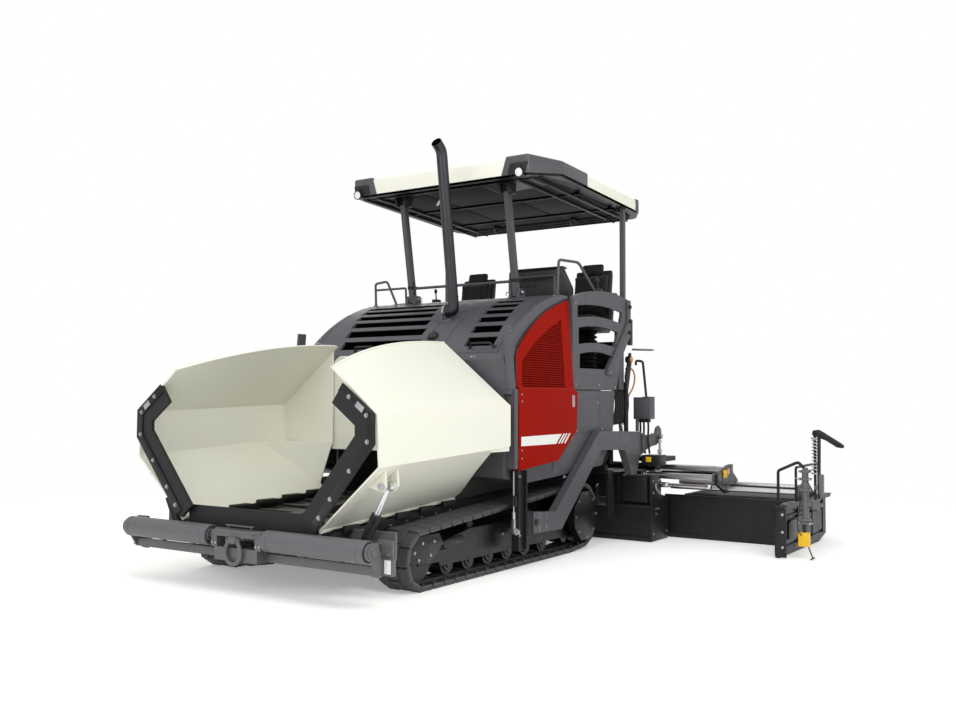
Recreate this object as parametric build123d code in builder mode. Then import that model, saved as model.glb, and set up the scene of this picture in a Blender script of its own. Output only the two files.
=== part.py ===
from build123d import *
import os
from math import atan2, cos, degrees, hypot, radians, sin, tan

os.makedirs("parts", exist_ok=True)

# A tracked asphalt paver, in millimetres. The hopper and push rollers face -Y, +X is the
# machine's left, +Z is up, and the ground is z = 0. Left-hand pieces are built and mirrored.

# ---------------------------------------------------------------- driving dimensions
REAR_Y = 3085.0                   # rear edge of the screed walkway
GAP = 6.0                         # gap round doors and hatches

TRACK_IN, TRACK_OUT = 845.0, 1150.0
TRACK_THICK = 55.0
SHOE_COUNT, SHOE_GAP, SHOE_CUT = 46, 14.0, 24.0
# y, z and radius of the wheels that the track wraps: idler, last roller, sprocket
IDLER = (-2180.0, 235.0, 235.0)
LAST_ROLLER = (120.0, 120.0, 120.0)
SPROCKET = (350.0, 335.0, 315.0)

HINGE_X = 750.0                   # hopper wing hinge line
HINGE_Z = 500.0                   # its height at the front end
WING_FRONT, WING_REAR = -2925.0, -1220.0
WING_RISE = 0.061                 # how much the hopper rises towards the rear, per mm
WING_SHEET = 14.0
WING_PIN = (1235.0, 840.0)        # x, z of the pin that the wing cylinder pushes
WING_BASE = (970.0, 340.0)        # x, z of the cylinder's foot pin
WING_CYLINDER_Y = -2740.0

ROLLER_Y, ROLLER_Z, ROLLER_R = -3005.0, 407.0, 80.0
ROLLER_INNER, ROLLER_OUTER = 300.0, 1275.0
BEAM_PIVOT_Y = -2905.0
TOW_RING_Z = 396.0                # height of the tow ring's pin

BODY_HALF = 1185.0                # half width of the lower body
DOOR_FACE = 1275.0                # outer face of the side doors
SHELL = 25.0                      # wall of body and hood
FRONT_WALL_Y = -1140.0
HOOD_REAR_Y = 70.0
SHOULDER_LOW, SHOULDER_HIGH = 1220.0, 1150.0   # half widths of the hood at its foot and top
HOOD_FOOT_Z, HOOD_TOP_Z = 1545.0, 2450.0

FLOOR_Z = 1725.0                  # operators' platform
GUARD_X = (1165.0, 1195.0)
SEAT_AXIS = (750.0, 1150.0)
CONSOLE_X, CONSOLE_Y = (250.0, 860.0), (450.0, 750.0)

FRONT_POST = ((-30.0, 2470.0), (-200.0, 3460.0))   # y, z of foot pin and head pin
REAR_POST = ((1300.0, 2490.0), (1300.0, 3480.0))
FRONT_POST_X, REAR_POST_X = 632.0, 1136.0
ROOF_HALF, ROOF_FRONT, ROOF_REAR = 1200.0, -500.0, 1800.0

EXHAUST_X, EXHAUST_Y, EXHAUST_Z = 350.0, -690.0, 2287.0
EXHAUST_R, EXHAUST_LEAN, EXHAUST_LENGTH = 52.0, 8.0, 1535.0

TOW_PIN = (-745.0, 385.0)         # y, z of the pin between tow slide and screed arm
ARM_X = (1200.0, 1275.0)
LIFT_X = 1050.0
LIFT_TOP, LIFT_EYE = (1250.0, 1980.0), (1450.0, 1025.0)   # y, z of the lift cylinder's pins

AUGER_Y, AUGER_Z, AUGER_R = 930.0, 420.0, 180.0

SCREED_HALF = 1490.0
SCREED_FRONT, SCREED_BACK = 1200.0, 1620.0
EXT_INNER, EXT_OUTER = 1430.0, 2820.0
EXT_FRONT, EXT_BACK = 1700.0, 2250.0
GATE_X = (2850.0, 2890.0)
GATE_FRONT, GATE_REAR = 930.0, 2530.0
CARRIAGE_X = (2080.0, 2110.0)
UPPER_TUBES = ((1500.0, 660.0), (1850.0, 722.0))   # y, z of the tubes on the carriage
LOWER_TUBES = ((1750.0, 535.0), (2000.0, 565.0))   # y, z of the tubes on the extension
UPPER_R, LOWER_R = 33.0, 27.0
SENSOR_Y = 1000.0


# ---------------------------------------------------------------- helpers
def side_plane(x):
    """Sketch plane facing +X, drawn in (y, z)."""
    return Plane(origin=(x, 0, 0), x_dir=(0, 1, 0), z_dir=(1, 0, 0))


def front_plane(y):
    """Sketch plane facing -Y, drawn in (x, z)."""
    return Plane(origin=(0, y, 0), x_dir=(1, 0, 0), z_dir=(0, -1, 0))


def block(x, y, z, mode=Mode.ADD):
    """A box between two values of x, of y and of z."""
    with Locations(((x[0] + x[1]) / 2, (y[0] + y[1]) / 2, (z[0] + z[1]) / 2)):
        Box(x[1] - x[0], y[1] - y[0], z[1] - z[0], mode=mode)


def prism(points, plane, depth, mode=Mode.ADD, corner=0.0):
    """A polygon, its corners rounded if asked, extruded from a plane."""
    with BuildSketch(plane, mode=Mode.PRIVATE) as outline:
        with BuildLine():
            if corner:
                FilletPolyline(*points, radius=corner, close=True)
            else:
                Polyline(*points, close=True)
        make_face()
    extrude(outline.sketch, amount=depth, mode=mode)


def prism_x(points, x, mode=Mode.ADD, corner=0.0):
    """A (y, z) polygon extruded between two values of x."""
    prism(points, side_plane(x[0]), x[1] - x[0], mode, corner)


def prism_y(points, y, mode=Mode.ADD, corner=0.0):
    """An (x, z) polygon extruded between two values of y."""
    prism(points, front_plane(y[1]), y[1] - y[0], mode, corner)


def prism_z(points, z, mode=Mode.ADD, corner=0.0):
    """An (x, y) polygon extruded between two heights."""
    prism(points, Plane.XY.offset(z[0]), z[1] - z[0], mode, corner)


def rod(start, end, radius, mode=Mode.ADD):
    """A round bar from one point to another."""
    along = Vector(*end) - Vector(*start)
    with BuildSketch(Plane(origin=start, z_dir=along), mode=Mode.PRIVATE) as section:
        Circle(radius)
    extrude(section.sketch, amount=along.length, mode=mode)


def bent_tube(points, bend, radius):
    """A round tube along straight runs joined by arcs."""
    with BuildLine(mode=Mode.PRIVATE) as path:
        FilletPolyline(*points, radius=bend)
    with BuildSketch(Plane(origin=path.line @ 0, z_dir=path.line % 0), mode=Mode.PRIVATE) as section:
        Circle(radius)
    sweep(section.sketch, path=path.line)


def offset_line(points, distance):
    """An open polyline moved sideways, with mitred corners."""
    moved = []
    last = len(points) - 1
    for i, (u, v) in enumerate(points):
        before = points[max(i - 1, 0)]
        after = points[min(i + 1, last)]
        normals = []
        for a, b in ((before, (u, v)), ((u, v), after)):
            length = hypot(b[0] - a[0], b[1] - a[1])
            if length:
                normals.append((-(b[1] - a[1]) / length, (b[0] - a[0]) / length))
        nu = sum(n[0] for n in normals) / len(normals)
        nv = sum(n[1] for n in normals) / len(normals)
        scale = distance / (nu * nu + nv * nv)
        moved.append((u + nu * scale, v + nv * scale))
    return moved


def ribbon(points, distance):
    """The closed outline between a polyline and its offset."""
    return list(points) + offset_line(points, distance)[::-1]


def save(part, name):
    """Writes one node."""
    part.label = name
    export_step(part, f"parts/{name}.step")


def save_pair(part, name):
    """Writes a left-hand piece and its mirror image."""
    save(part, f"{name}_left")
    save(mirror(part, about=Plane.YZ), f"{name}_right")


def save_both(part, name):
    """Writes a left-hand piece and its mirror image as one node, for pieces on the same body."""
    other = mirror(part, about=Plane.YZ)
    save(Compound(children=[*part.solids(), *other.solids()]), name)


# ---------------------------------------------------------------- tracks
def track_loop(shrink):
    """The wheels' hull, drawn in (y, z), with every radius reduced."""
    for y, z, radius in (IDLER, LAST_ROLLER, SPROCKET):
        with Locations((y, z)):
            Circle(radius - shrink)
    make_hull()


def make_track():
    with BuildSketch(side_plane(TRACK_IN)) as shape:
        track_loop(0)
        path = shape.sketch_local.face().outer_wire()
        cuts = []
        for i in range(SHOE_COUNT):
            place = path.position_at((i + 0.5) / SHOE_COUNT)
            heading = path.tangent_at((i + 0.5) / SHOE_COUNT)
            turn = degrees(atan2(heading.Y, heading.X))
            cuts.append(Location((place.X, place.Y, 0), (0, 0, turn)))
        with Locations(*cuts):
            Rectangle(SHOE_GAP, 2 * SHOE_CUT, mode=Mode.SUBTRACT)
    with BuildSketch(side_plane(TRACK_IN)) as hollow:
        track_loop(TRACK_THICK)
    with BuildPart() as track:
        extrude(shape.sketch, amount=TRACK_OUT - TRACK_IN)
        extrude(hollow.sketch, amount=TRACK_OUT - TRACK_IN, mode=Mode.SUBTRACT)
    return track.part


def make_track_frame():
    idler_y, idler_z, idler_r = IDLER
    drive_y, drive_z, drive_r = SPROCKET
    inner = TRACK_THICK + 4
    frame_profile = [(-1930, 150), (-1930, 330), (-1500, 400), (-40, 400), (40, 330), (40, 150)]
    with BuildPart() as frame:
        prism_x(frame_profile, (905, 1090), corner=25)
        block((905, 1090), (-2000, -1900), (185, 285))
        for x in ((880, 900), (1095, 1115)):
            block(x, (-2230, -1850), (190, 280))
            block((min(x[0], 900), max(x[1], 1095)) if x[0] < 900 else (1085, 1115), (-1900, -1850),
                (190, 280))
        rod((880, idler_y, idler_z), (1115, idler_y, idler_z), 45)
        rod((930, idler_y, idler_z), (1065, idler_y, idler_z), idler_r - inner)
        for y in (-1800, -1500, -1200, -900, -600, -300):
            rod((925, y, 150), (1070, y, 150), 86)
        rod((925, LAST_ROLLER[0], 150), (1070, LAST_ROLLER[0], 150), 60)
        block((925, 1070), (-60, 130), (150, 240))
        for y in (-1450, -500):
            rod((940, y, 425), (1055, y, 425), 40)
        rod((935, drive_y, drive_z), (1060, drive_y, drive_z), drive_r - inner)
        rod((800, drive_y, drive_z), (1188, drive_y, drive_z), 150)
        rod((1118, drive_y, drive_z), (1180, drive_y, drive_z), 235)
        for y in (-1650, -250):
            rod((795, y, 290), (910, y, 290), 70)
    return frame.part


# ---------------------------------------------------------------- chassis and conveyor
def hinge_z(y):
    """Height of the wing hinge line at y."""
    return HINGE_Z + (y - WING_FRONT) * WING_RISE


def make_main_frame():
    """Side plates, cross members and the lugs that hold the push-roller beam's upright pin."""
    front, middle, rear = -2860.0, -1130.0, 820.0
    top = -32.0
    side = [
        (front, 300),
        (front, hinge_z(front) + top),
        (middle, hinge_z(middle) + top),
        (rear, hinge_z(middle) + top + 90),
        (rear, 625),
        (730, 625),
        (730, 300),
        (600, 240),
        (-2500, 240),
    ]
    with BuildPart() as frame:
        for x in ((700, 790), (-790, -700)):
            prism_x(side, x)
        # y limits and z limits of the cross members
        for y, z in (((-2875, -2800), (345, 412)), ((-2000, -1850), (240, 360)),
                ((-700, -550), (240, 360)), ((560, 700), (240, 360))):
            block((-705, 705), y, z)
        for x in (-790, 780):
            for y in (-2760, -2300, -1840, -1380):
                z = hinge_z(y)
                block((x, x + 10), (y - 60, y + 60), (z - 80, z - 2))
        for z in ((195, 225), (340, 362)):
            prism_z([(-150, -2800), (150, -2800), (70, -2960), (-70, -2960)], z, corner=20)
        block((-150, 150), (-2810, -2780), (195, 362))
        rod((0, BEAM_PIVOT_Y, 195), (0, BEAM_PIVOT_Y, 370), 34)
    return frame.part


def make_conveyor():
    """Hopper floor, tunnel walls and roof: the two lanes that carry the mix to the augers."""
    rise = WING_RISE
    front, wall, rear = -2850.0, FRONT_WALL_Y, 800.0
    floor_z = 455.0

    def level(y):
        return floor_z + (y - front) * rise

    floor = [(front, level(front) - 40), (front, level(front)), (rear, level(rear)),
        (rear, level(rear) - 40)]
    cover = [(front + 150, level(front)), (front + 250, level(front) + 70),
        (rear, level(rear) + 70), (rear, level(rear))]
    wall_side = [(wall, level(wall)), (wall, 1010), (rear, 1060), (rear, level(rear))]
    roof = [(wall, 985), (wall, 1010), (rear, 1060), (rear, 1035)]
    with BuildPart() as conveyor:
        prism_x(floor, (-695, 695))
        prism_x(cover, (-60, 60))
        prism_x(wall_side, (-20, 20))
        for x in ((-695, -670), (670, 695)):
            prism_x(wall_side, x)
        prism_x(roof, (-695, 695))
    return conveyor.part


def make_front_apron():
    """Rubber flap across the hopper's mouth."""
    with BuildPart() as apron:
        block((-690, 690), (-2900, -2880), (395, 610))
    return apron.part


def make_side_bracket():
    """Three-hole bracket ahead of each track, which also holds the wing cylinder's foot."""
    with BuildPart() as bracket:
        block((795, 1230), (-2660, -2636), (300, 500))
        for x, z in ((1150, 455), (1195, 440), (1180, 385)):
            rod((x, -2670, z), (x, -2630, z), 13, mode=Mode.SUBTRACT)
        block((795, 1120), (-2636, -2560), (300, 330))
        for y in ((-2800, -2785), (-2695, -2680)):
            prism_y([(795, 290), (1010, 290), (1010, 370), (960, 385), (795, 385)], y)
        block((795, 815), (-2800, -2640), (290, 385))
        block((815, 900), (-2690, -2650), (300, 385))
        rod((WING_BASE[0], -2800, WING_BASE[1]), (WING_BASE[0], -2680, WING_BASE[1]), 17.5)
    return bracket.part


# ---------------------------------------------------------------- hopper wings
def wing_profile(y, overrun):
    """Fold points (x, z) of the wing's outer face at its front or rear end."""
    rise = hinge_z(y) - HINGE_Z
    if y < (WING_FRONT + WING_REAR) / 2:
        fold = [(HINGE_X, HINGE_Z + rise), (1300, 980), (1272, 1352), (843, 1702)]
    else:
        fold = [(HINGE_X, HINGE_Z + rise), (1300, 1060), (1300, 1410), (628, 1950)]
    du, dv = fold[3][0] - fold[2][0], fold[3][1] - fold[2][1]
    length = hypot(du, dv)
    tip = (fold[3][0] + du / length * overrun, fold[3][1] + dv / length * overrun)
    return fold[:3] + [tip]


def make_hopper_wing():
    with BuildPart() as wing:
        for y in (WING_FRONT, WING_REAR):
            with BuildSketch(front_plane(y)):
                with BuildLine():
                    Polyline(*ribbon(wing_profile(y, 220), WING_SHEET), close=True)
                make_face()
        loft(ruled=True)
        # side outline: arched top edge, lower rear corner cut away
        with BuildSketch(side_plane(500)) as outline:
            with BuildLine():
                Polyline((WING_FRONT, 1690), (WING_FRONT, 450), (WING_REAR - 120, 450),
                    (WING_REAR - 20, 660))
                Polyline((WING_REAR - 20, 660), (-1490, 1020), (WING_REAR, 1050), (WING_REAR, 1950))
                ThreePointArc((WING_REAR, 1950), (-2150, 1878), (WING_FRONT, 1690))
            make_face()
        extrude(outline.sketch, amount=1000, mode=Mode.INTERSECT)
        # rear wall, and the plate that slopes from the cut corner up to it
        prism_y([(1298, 1055), (1298, 1410), (664, 1916), (664, 1055)], (WING_REAR - 14, WING_REAR))
        prism_z([(1294, WING_REAR), (1285, -1486), (664, WING_REAR - 14), (664, WING_REAR)],
            (1024, 1055))
        slope = [(1278, -1486, 1024), (798, -1246, 664), (664, WING_REAR - 7, 1055)]
        extrude(Face(Wire.make_polygon(slope)), amount=10, both=True)
        # hinge bar, and the two ears that the cylinder pushes
        rod((HINGE_X, WING_FRONT + 10, hinge_z(WING_FRONT + 10)), (HINGE_X, -1260, hinge_z(-1260)), 18)
        ear = [(1112, 825), (1262, 956), (1268, 835), (1235, 800), (1200, 812)]
        for y in (WING_CYLINDER_Y - 78, WING_CYLINDER_Y + 58):
            prism_y(ear, (y, y + 20))
        rod((WING_PIN[0], WING_CYLINDER_Y - 78, WING_PIN[1]),
            (WING_PIN[0], WING_CYLINDER_Y - 45, WING_PIN[1]), 16)
        rod((WING_PIN[0], WING_CYLINDER_Y + 45, WING_PIN[1]),
            (WING_PIN[0], WING_CYLINDER_Y + 78, WING_PIN[1]), 16)
    return wing.part


def make_wing_seal():
    """Rubber strip that closes the front of the wing, bent like its frame."""
    fold = [(725, 500), (1264, 1142), (1261, 1357), (980, 1564)]
    with BuildPart() as seal:
        prism_y(ribbon(fold, 165), (WING_FRONT - 32, WING_FRONT - 2))
        prism_y([(600, 400), (790, 400), (790, 512), (600, 512)], (-3000, -2900), mode=Mode.SUBTRACT)
    return seal.part


def cylinder_vector(foot, head):
    """Length and unit direction between two pins given by two coordinates."""
    du, dv = head[0] - foot[0], head[1] - foot[1]
    length = hypot(du, dv)
    return length, (du / length, dv / length)


def make_wing_barrel():
    _, (ux, uz) = cylinder_vector(WING_BASE, WING_PIN)
    y = WING_CYLINDER_Y

    def at(distance):
        return (WING_BASE[0] + ux * distance, y, WING_BASE[1] + uz * distance)

    with BuildPart() as barrel:
        rod(at(0), at(325), 38)
        rod((WING_BASE[0], y - 38, WING_BASE[1]), (WING_BASE[0], y + 38, WING_BASE[1]), 36)
        rod(at(45), at(345), 19.3, mode=Mode.SUBTRACT)
        rod((WING_BASE[0], y - 50, WING_BASE[1]), (WING_BASE[0], y + 50, WING_BASE[1]), 17.8,
            mode=Mode.SUBTRACT)
    return barrel.part


def make_wing_rod():
    length, (ux, uz) = cylinder_vector(WING_BASE, WING_PIN)
    y = WING_CYLINDER_Y

    def at(distance):
        return (WING_BASE[0] + ux * distance, y, WING_BASE[1] + uz * distance)

    with BuildPart() as piston:
        rod(at(220), at(length - 30), 19)
        rod((WING_PIN[0], y - 20, WING_PIN[1]), (WING_PIN[0], y + 20, WING_PIN[1]), 34)
    return piston.part


# ---------------------------------------------------------------- push rollers
def make_roller_beam():
    with BuildPart() as beam:
        block((-1304, 1304), (-2935, -2900), (235, 300))
        prism_z([(-230, -3040), (230, -3040), (230, -2925), (60, -2860), (-60, -2860),
            (-230, -2925)], (232, 334))
        # cover over the middle and the rollers' inner supports
        prism_z([(-272, -2960), (-272, -2990), (-200, -3060), (200, -3060), (272, -2990),
            (272, -2960)], (418, 455))
        for x in ((205, 268), (-268, -205)):
            block(x, (-3040, -2960), (330, 455))
        # outer supports: a round boss on an arm, with a bracket behind it
        arm = [(-3005, 345), (-2935, 235), (-2850, 235), (-2850, 300), (-2900, 340), (-2940, 469),
            (-3005, 469)]
        for s, x in ((1, (1284, 1304)), (-1, (-1304, -1284))):
            prism_x(arm, x)
            rod((x[0], ROLLER_Y, ROLLER_Z), (x[1], ROLLER_Y, ROLLER_Z), 62)
            block(sorted((s * 1250, s * 1390)), (-2890, -2850), (235, 355))
            block(sorted((s * 1240, s * 1375)), (-2872, -2850), (350, 475))
            rod((s * 1335, -2900, 425), (s * 1335, -2840, 425), 14, mode=Mode.SUBTRACT)
            rod((s * 1215, -2880, 262), (s * 1262, -2880, 262), 48)
        rod((-1250, -2880, 266), (1250, -2880, 266), 27)
        rod((0, BEAM_PIVOT_Y, 200), (0, BEAM_PIVOT_Y, 380), 34.3, mode=Mode.SUBTRACT)
        for x in (ROLLER_INNER - 40, ROLLER_OUTER + 5, -ROLLER_INNER - 25, -ROLLER_OUTER - 40):
            rod((x - 5, ROLLER_Y, ROLLER_Z), (x + 65, ROLLER_Y, ROLLER_Z), 22.3, mode=Mode.SUBTRACT)
        # tongue that carries the tow ring
        block((-38, 38), (-3082, -3035), (372, 420))
        rod((-60, -3064, TOW_RING_Z), (60, -3064, TOW_RING_Z), 14.3, mode=Mode.SUBTRACT)
    return beam.part


def make_push_roller():
    with BuildPart() as roller:
        rod((ROLLER_INNER, ROLLER_Y, ROLLER_Z), (ROLLER_OUTER, ROLLER_Y, ROLLER_Z), ROLLER_R)
        rod((ROLLER_INNER - 35, ROLLER_Y, ROLLER_Z), (ROLLER_OUTER + 55, ROLLER_Y, ROLLER_Z), 22)
    return roller.part


def make_tow_ring():
    """Ring with two lugs and a pin, hung from the beam's tongue."""
    z = TOW_RING_Z
    with BuildPart() as ring:
        with BuildSketch(front_plane(-3050)) as shape:
            with Locations((0, z - 109)):
                Circle(96)
                Circle(64, mode=Mode.SUBTRACT)
            with Locations((0, z + 9)):
                Rectangle(90, 90, mode=Mode.SUBTRACT)
            with Locations((-55, z - 22), (55, z - 22)):
                Rectangle(20, 68)
        extrude(shape.sketch, amount=26)
        rod((-46, -3064, z), (46, -3064, z), 14)
    return ring.part


# ---------------------------------------------------------------- body and hood
HOOD_ARC = ((-1140.0, 1800.0), (-745.0, 2173.0), (-60.0, 2450.0))   # y, z of the hood's curve


def hood_outline(inset):
    """Side outline of the hood, moved inwards by a wall."""
    k = inset / SHELL
    (y0, z0), (y1, z1), (y2, z2) = HOOD_ARC
    Polyline((y0 + inset, z0 - 8 * k), (y0 + inset, HOOD_FOOT_Z), (HOOD_REAR_Y - inset, HOOD_FOOT_Z))
    Polyline((HOOD_REAR_Y - inset, HOOD_FOOT_Z), (HOOD_REAR_Y - inset, HOOD_TOP_Z - inset),
        (y2 + 4 * k, z2 - inset))
    ThreePointArc((y2 + 4 * k, z2 - inset), (y1 + 15 * k, z1 - 20 * k), (y0 + inset, z0 - 8 * k))


def shoulder_outline(inset):
    """Front outline of the hood: sides that lean in, rounded shoulders."""
    low, high = SHOULDER_LOW - inset, SHOULDER_HIGH - inset
    lean = (SHOULDER_LOW - SHOULDER_HIGH) / (HOOD_TOP_Z - HOOD_FOOT_Z)
    top = HOOD_TOP_Z + 60
    far = high - lean * 60
    return [(-low, HOOD_FOOT_Z - 5), (low, HOOD_FOOT_Z - 5), (far, top), (-far, top)]


def hood_solid(inset):
    """Outer or inner shape of the hood."""
    with BuildPart() as solid:
        with BuildSketch(side_plane(-1300)) as outline:
            with BuildLine():
                hood_outline(inset)
            make_face()
            # ease the corner where the curve meets the flat top
            corner = outline.vertices().filter_by(lambda v: -300 < v.X < 0)
            fillet(corner, 180)
        extrude(outline.sketch, amount=2600)
        prism_y(shoulder_outline(inset), (-1400, 400), mode=Mode.INTERSECT)
        if not inset:
            shoulders = solid.edges().filter_by(lambda e: e.center().Z > 1900 and abs(e.center().X) > 1000)
            fillet(shoulders.filter_by(lambda e: e.center().Y < HOOD_REAR_Y - 10), 40)
    return solid.part


# x limits of the two hatches, and the y limits they share
HATCH_X = {"left": (470.0, 1085.0), "right": (-1085.0, 236.0)}
HATCH_Y = (-1085.0, -205.0)
HATCH_HINGE = (-192.0, 2405.0)    # y, z
LOUVRE_ROWS = 6
# x limits of the rearmost slot, and how far each next slot is shifted
LOUVRE_X = {"left": (590.0, 900.0, 22.0), "right": (-985.0, -40.0, 44.0)}


def hood_height(y):
    """Height of the hood's outer curve at y."""
    (y0, z0), (y1, z1), (y2, z2) = HOOD_ARC
    a, b = 2 * (y1 - y0), 2 * (z1 - z0)
    c, d = 2 * (y2 - y0), 2 * (z2 - z0)
    e = y1 * y1 - y0 * y0 + z1 * z1 - z0 * z0
    f = y2 * y2 - y0 * y0 + z2 * z2 - z0 * z0
    det = a * d - b * c
    cy, cz = (e * d - b * f) / det, (a * f - e * c) / det
    radius = hypot(y0 - cy, z0 - cz)
    return cz + (radius * radius - (y - cy) ** 2) ** 0.5


def make_hood():
    """Returns the fixed hood and its two hatches."""
    outer, inner = hood_solid(0), hood_solid(SHELL)
    with BuildPart() as hood:
        add(outer)
        add(inner, mode=Mode.SUBTRACT)
        block((-1160, 1160), (-1090, 60), (1500, 1580), mode=Mode.SUBTRACT)
        for x0, x1 in HATCH_X.values():
            block((x0 - GAP, x1 + GAP), (HATCH_Y[0] - GAP, HATCH_Y[1] + 26), (1700, 2600),
                mode=Mode.SUBTRACT)
        for x in (1080, -1300):
            with BuildSketch(side_plane(x)) as door:
                with BuildLine():
                    upper_door_outline(GAP)
                make_face()
            extrude(amount=220, mode=Mode.SUBTRACT)
        # lugs of the front posts' foot pins
        for x in (FRONT_POST_X, -FRONT_POST_X):
            for d in (-60, 36):
                prism_x([(-90, 2440), (40, 2440), (10, 2530), (-60, 2530)], (x + d, x + d + 24))
        # riser and sleeve of the exhaust
        rod((EXHAUST_X - 104, EXHAUST_Y, EXHAUST_Z), (EXHAUST_X - 77, EXHAUST_Y, EXHAUST_Z), 57)
        block((EXHAUST_X - 104, EXHAUST_X - 77), (EXHAUST_Y - 40, EXHAUST_Y + 45),
            (hood_height(EXHAUST_Y - 40) - 15, EXHAUST_Z))
    hatches = {}
    for name, (x0, x1) in HATCH_X.items():
        with BuildPart() as hatch:
            add(outer)
            add(inner, mode=Mode.SUBTRACT)
            block((x0, x1), HATCH_Y, (1700, 2600), mode=Mode.INTERSECT)
            left, right, shift = LOUVRE_X[name]
            for row in range(LOUVRE_ROWS):
                y = -330 - row * 132
                dy = 44
                x = shift * row
                block((left + x, right + x), (y - dy, y + dy), (1700, 2600), mode=Mode.SUBTRACT)
            hinge_y, hinge_z_top = HATCH_HINGE
            for x in (x0 + 60, x1 - 140):
                rod((x, hinge_y, hinge_z_top), (x + 80, hinge_y, hinge_z_top), 9)
                block((x, x + 80), (HATCH_Y[1] - 8, hinge_y), (hinge_z_top - 7, hinge_z_top + 5))
        hatches[name] = hatch.part
    return hood.part, hatches


def upper_door_outline(grow):
    """Side outline (y, z) of the door's upper part, grown by a gap."""
    front, rear, foot = -985 - grow, 50 + grow, 1552 - 3 * grow
    Polyline((front, 1835), (front, foot), (rear, foot), (rear, 2405 + grow))
    ThreePointArc((rear, 2405 + grow), (-520 - grow * 0.6, 2197 + grow), (front, 1835))


DOOR_HINGE_Y = -1032.0
GRILLE = [(-892, 1568), (-865, 1790), (-720, 1900), (-551, 2004), (-309, 2124), (-118, 2200),
    (-124, 1568)]
LOWER_DOOR = [(-1030, 850), (-340, 905), (10, 1170), (30, 1525), (-1030, 1545)]


def make_body():
    """Lower body: side walls, front wall, shelf and rear wall, hollow."""
    side = [(-1140, 790), (-870, 720), (-280, 745), (700, 800), (950, 1100), (1000, 1545),
        (-1140, 1545)]
    inner = [(-1115, 815), (-870, 745), (-280, 770), (690, 825), (925, 1110), (972, 1520),
        (-1115, 1520)]
    with BuildPart() as body:
        prism_x(side, (-BODY_HALF, BODY_HALF))
        prism_x(inner, (-BODY_HALF + SHELL, BODY_HALF - SHELL), mode=Mode.SUBTRACT)
        # room for the conveyor tunnels between the frame's side plates
        block((-830, 830), (-1200, 1100), (600, 1070), mode=Mode.SUBTRACT)
        for x in ((-880, -830), (830, 880)):
            block((x[0] + 20, x[1] - 5), (-1110, 900), (830, 1090))
        block((-860, 860), (-1110, 900), (1070, 1090))
        # top is open under the hood
        block((-1100, 1100), (-1080, 60), (1500, 1560), mode=Mode.SUBTRACT)
        # side openings behind the doors
        for x in ((BODY_HALF - 40, BODY_HALF + 10), (-BODY_HALF - 10, -BODY_HALF + 40)):
            prism_x([(-960, 900), (-360, 945), (-40, 1190), (-20, 1490), (-960, 1490)], x,
                mode=Mode.SUBTRACT)
    return body.part


def make_door_post():
    """Post that carries the door's hinges, with the upright fin at the hood's front corner."""
    with BuildPart() as post:
        block((BODY_HALF, 1256), (-1100, -1040), (865, 1545))
        block((1256, 1272), (-1100, -1045), (865, 1545))
        prism_y([(1185, 1500), (1256, 1500), (1256, 1560), (1226, 1560), (1226, 1545),
            (1185, 1545)], (-1140, -1052))
        prism_y([(1226, 1545), (1256, 1545), (1205, 2095), (1182, 2095)], (-1150, -1052))
    return post.part


def make_side_door():
    with BuildPart() as door:
        prism_y([(1190, 1552), (1224, 1552), (1155, 2460), (1121, 2460)], (-1100, 100))
        with BuildSketch(side_plane(1050)) as outline:
            with BuildLine():
                upper_door_outline(0)
            make_face()
        extrude(outline.sketch, amount=300, mode=Mode.INTERSECT)
        prism_x(LOWER_DOOR, (1190, DOOR_FACE))
        prism_x([(-1005, 878), (-350, 930), (-15, 1182), (5, 1500), (-1005, 1520)], (1185, 1250),
            mode=Mode.SUBTRACT)
        prism_y([(1190, 1520), (DOOR_FACE, 1520), (1224, 1575), (1190, 1575)], (-985, 30))
        # pocket for the grille, and the hinge knuckles
        with BuildPart(mode=Mode.PRIVATE) as pocket:
            prism_y([(1210, 1552), (1260, 1552), (1191, 2460), (1141, 2460)], (-1100, 100))
            prism_x(GRILLE, (1050, 1350), mode=Mode.INTERSECT)
        add(pocket.part, mode=Mode.SUBTRACT)
        for z in (985, 1470):
            rod((1271, DOOR_HINGE_Y, z - 50), (1271, DOOR_HINGE_Y, z + 50), 7)
    return door.part


def make_engine():
    with BuildPart() as engine:
        block((-520, 520), (-950, -60), (1110, 1760))
    return engine.part


# ---------------------------------------------------------------- operators' platform
def make_platform():
    with BuildPart() as platform:
        outline = [(-1160, 78), (1160, 78), (1160, 1060), (960, 1100), (960, 1480), (-960, 1480),
            (-960, 1100), (-1160, 1060)]
        prism_z(outline, (FLOOR_Z - 25, FLOOR_Z))
        block((-1160, 1160), (78, 103), (1550, FLOOR_Z))
        for x in ((-1160, -1135), (1135, 1160)):
            block(x, (78, 1000), (1550, FLOOR_Z))
        block((-940, 940), (975, 1000), (1550, FLOOR_Z))
        # slide rails of the console
        for y in (500, 700):
            block((-900, 900), (y - 15, y + 15), (FLOOR_Z, FLOOR_Z + 20))
        # rear kick wall and its rail
        block((-940, 940), (1455, 1480), (FLOOR_Z, 2080))
        # cross frame under the rear edge
        block((-940, 940), (1420, 1480), (1600, 1700))
        for x in ((-900, -840), (840, 900)):
            block(x, (1000, 1420), (1600, 1700))
            prism_x([(1003, 1300), (1003, 1600), (1300, 1600)], x)
    return platform.part


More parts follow.
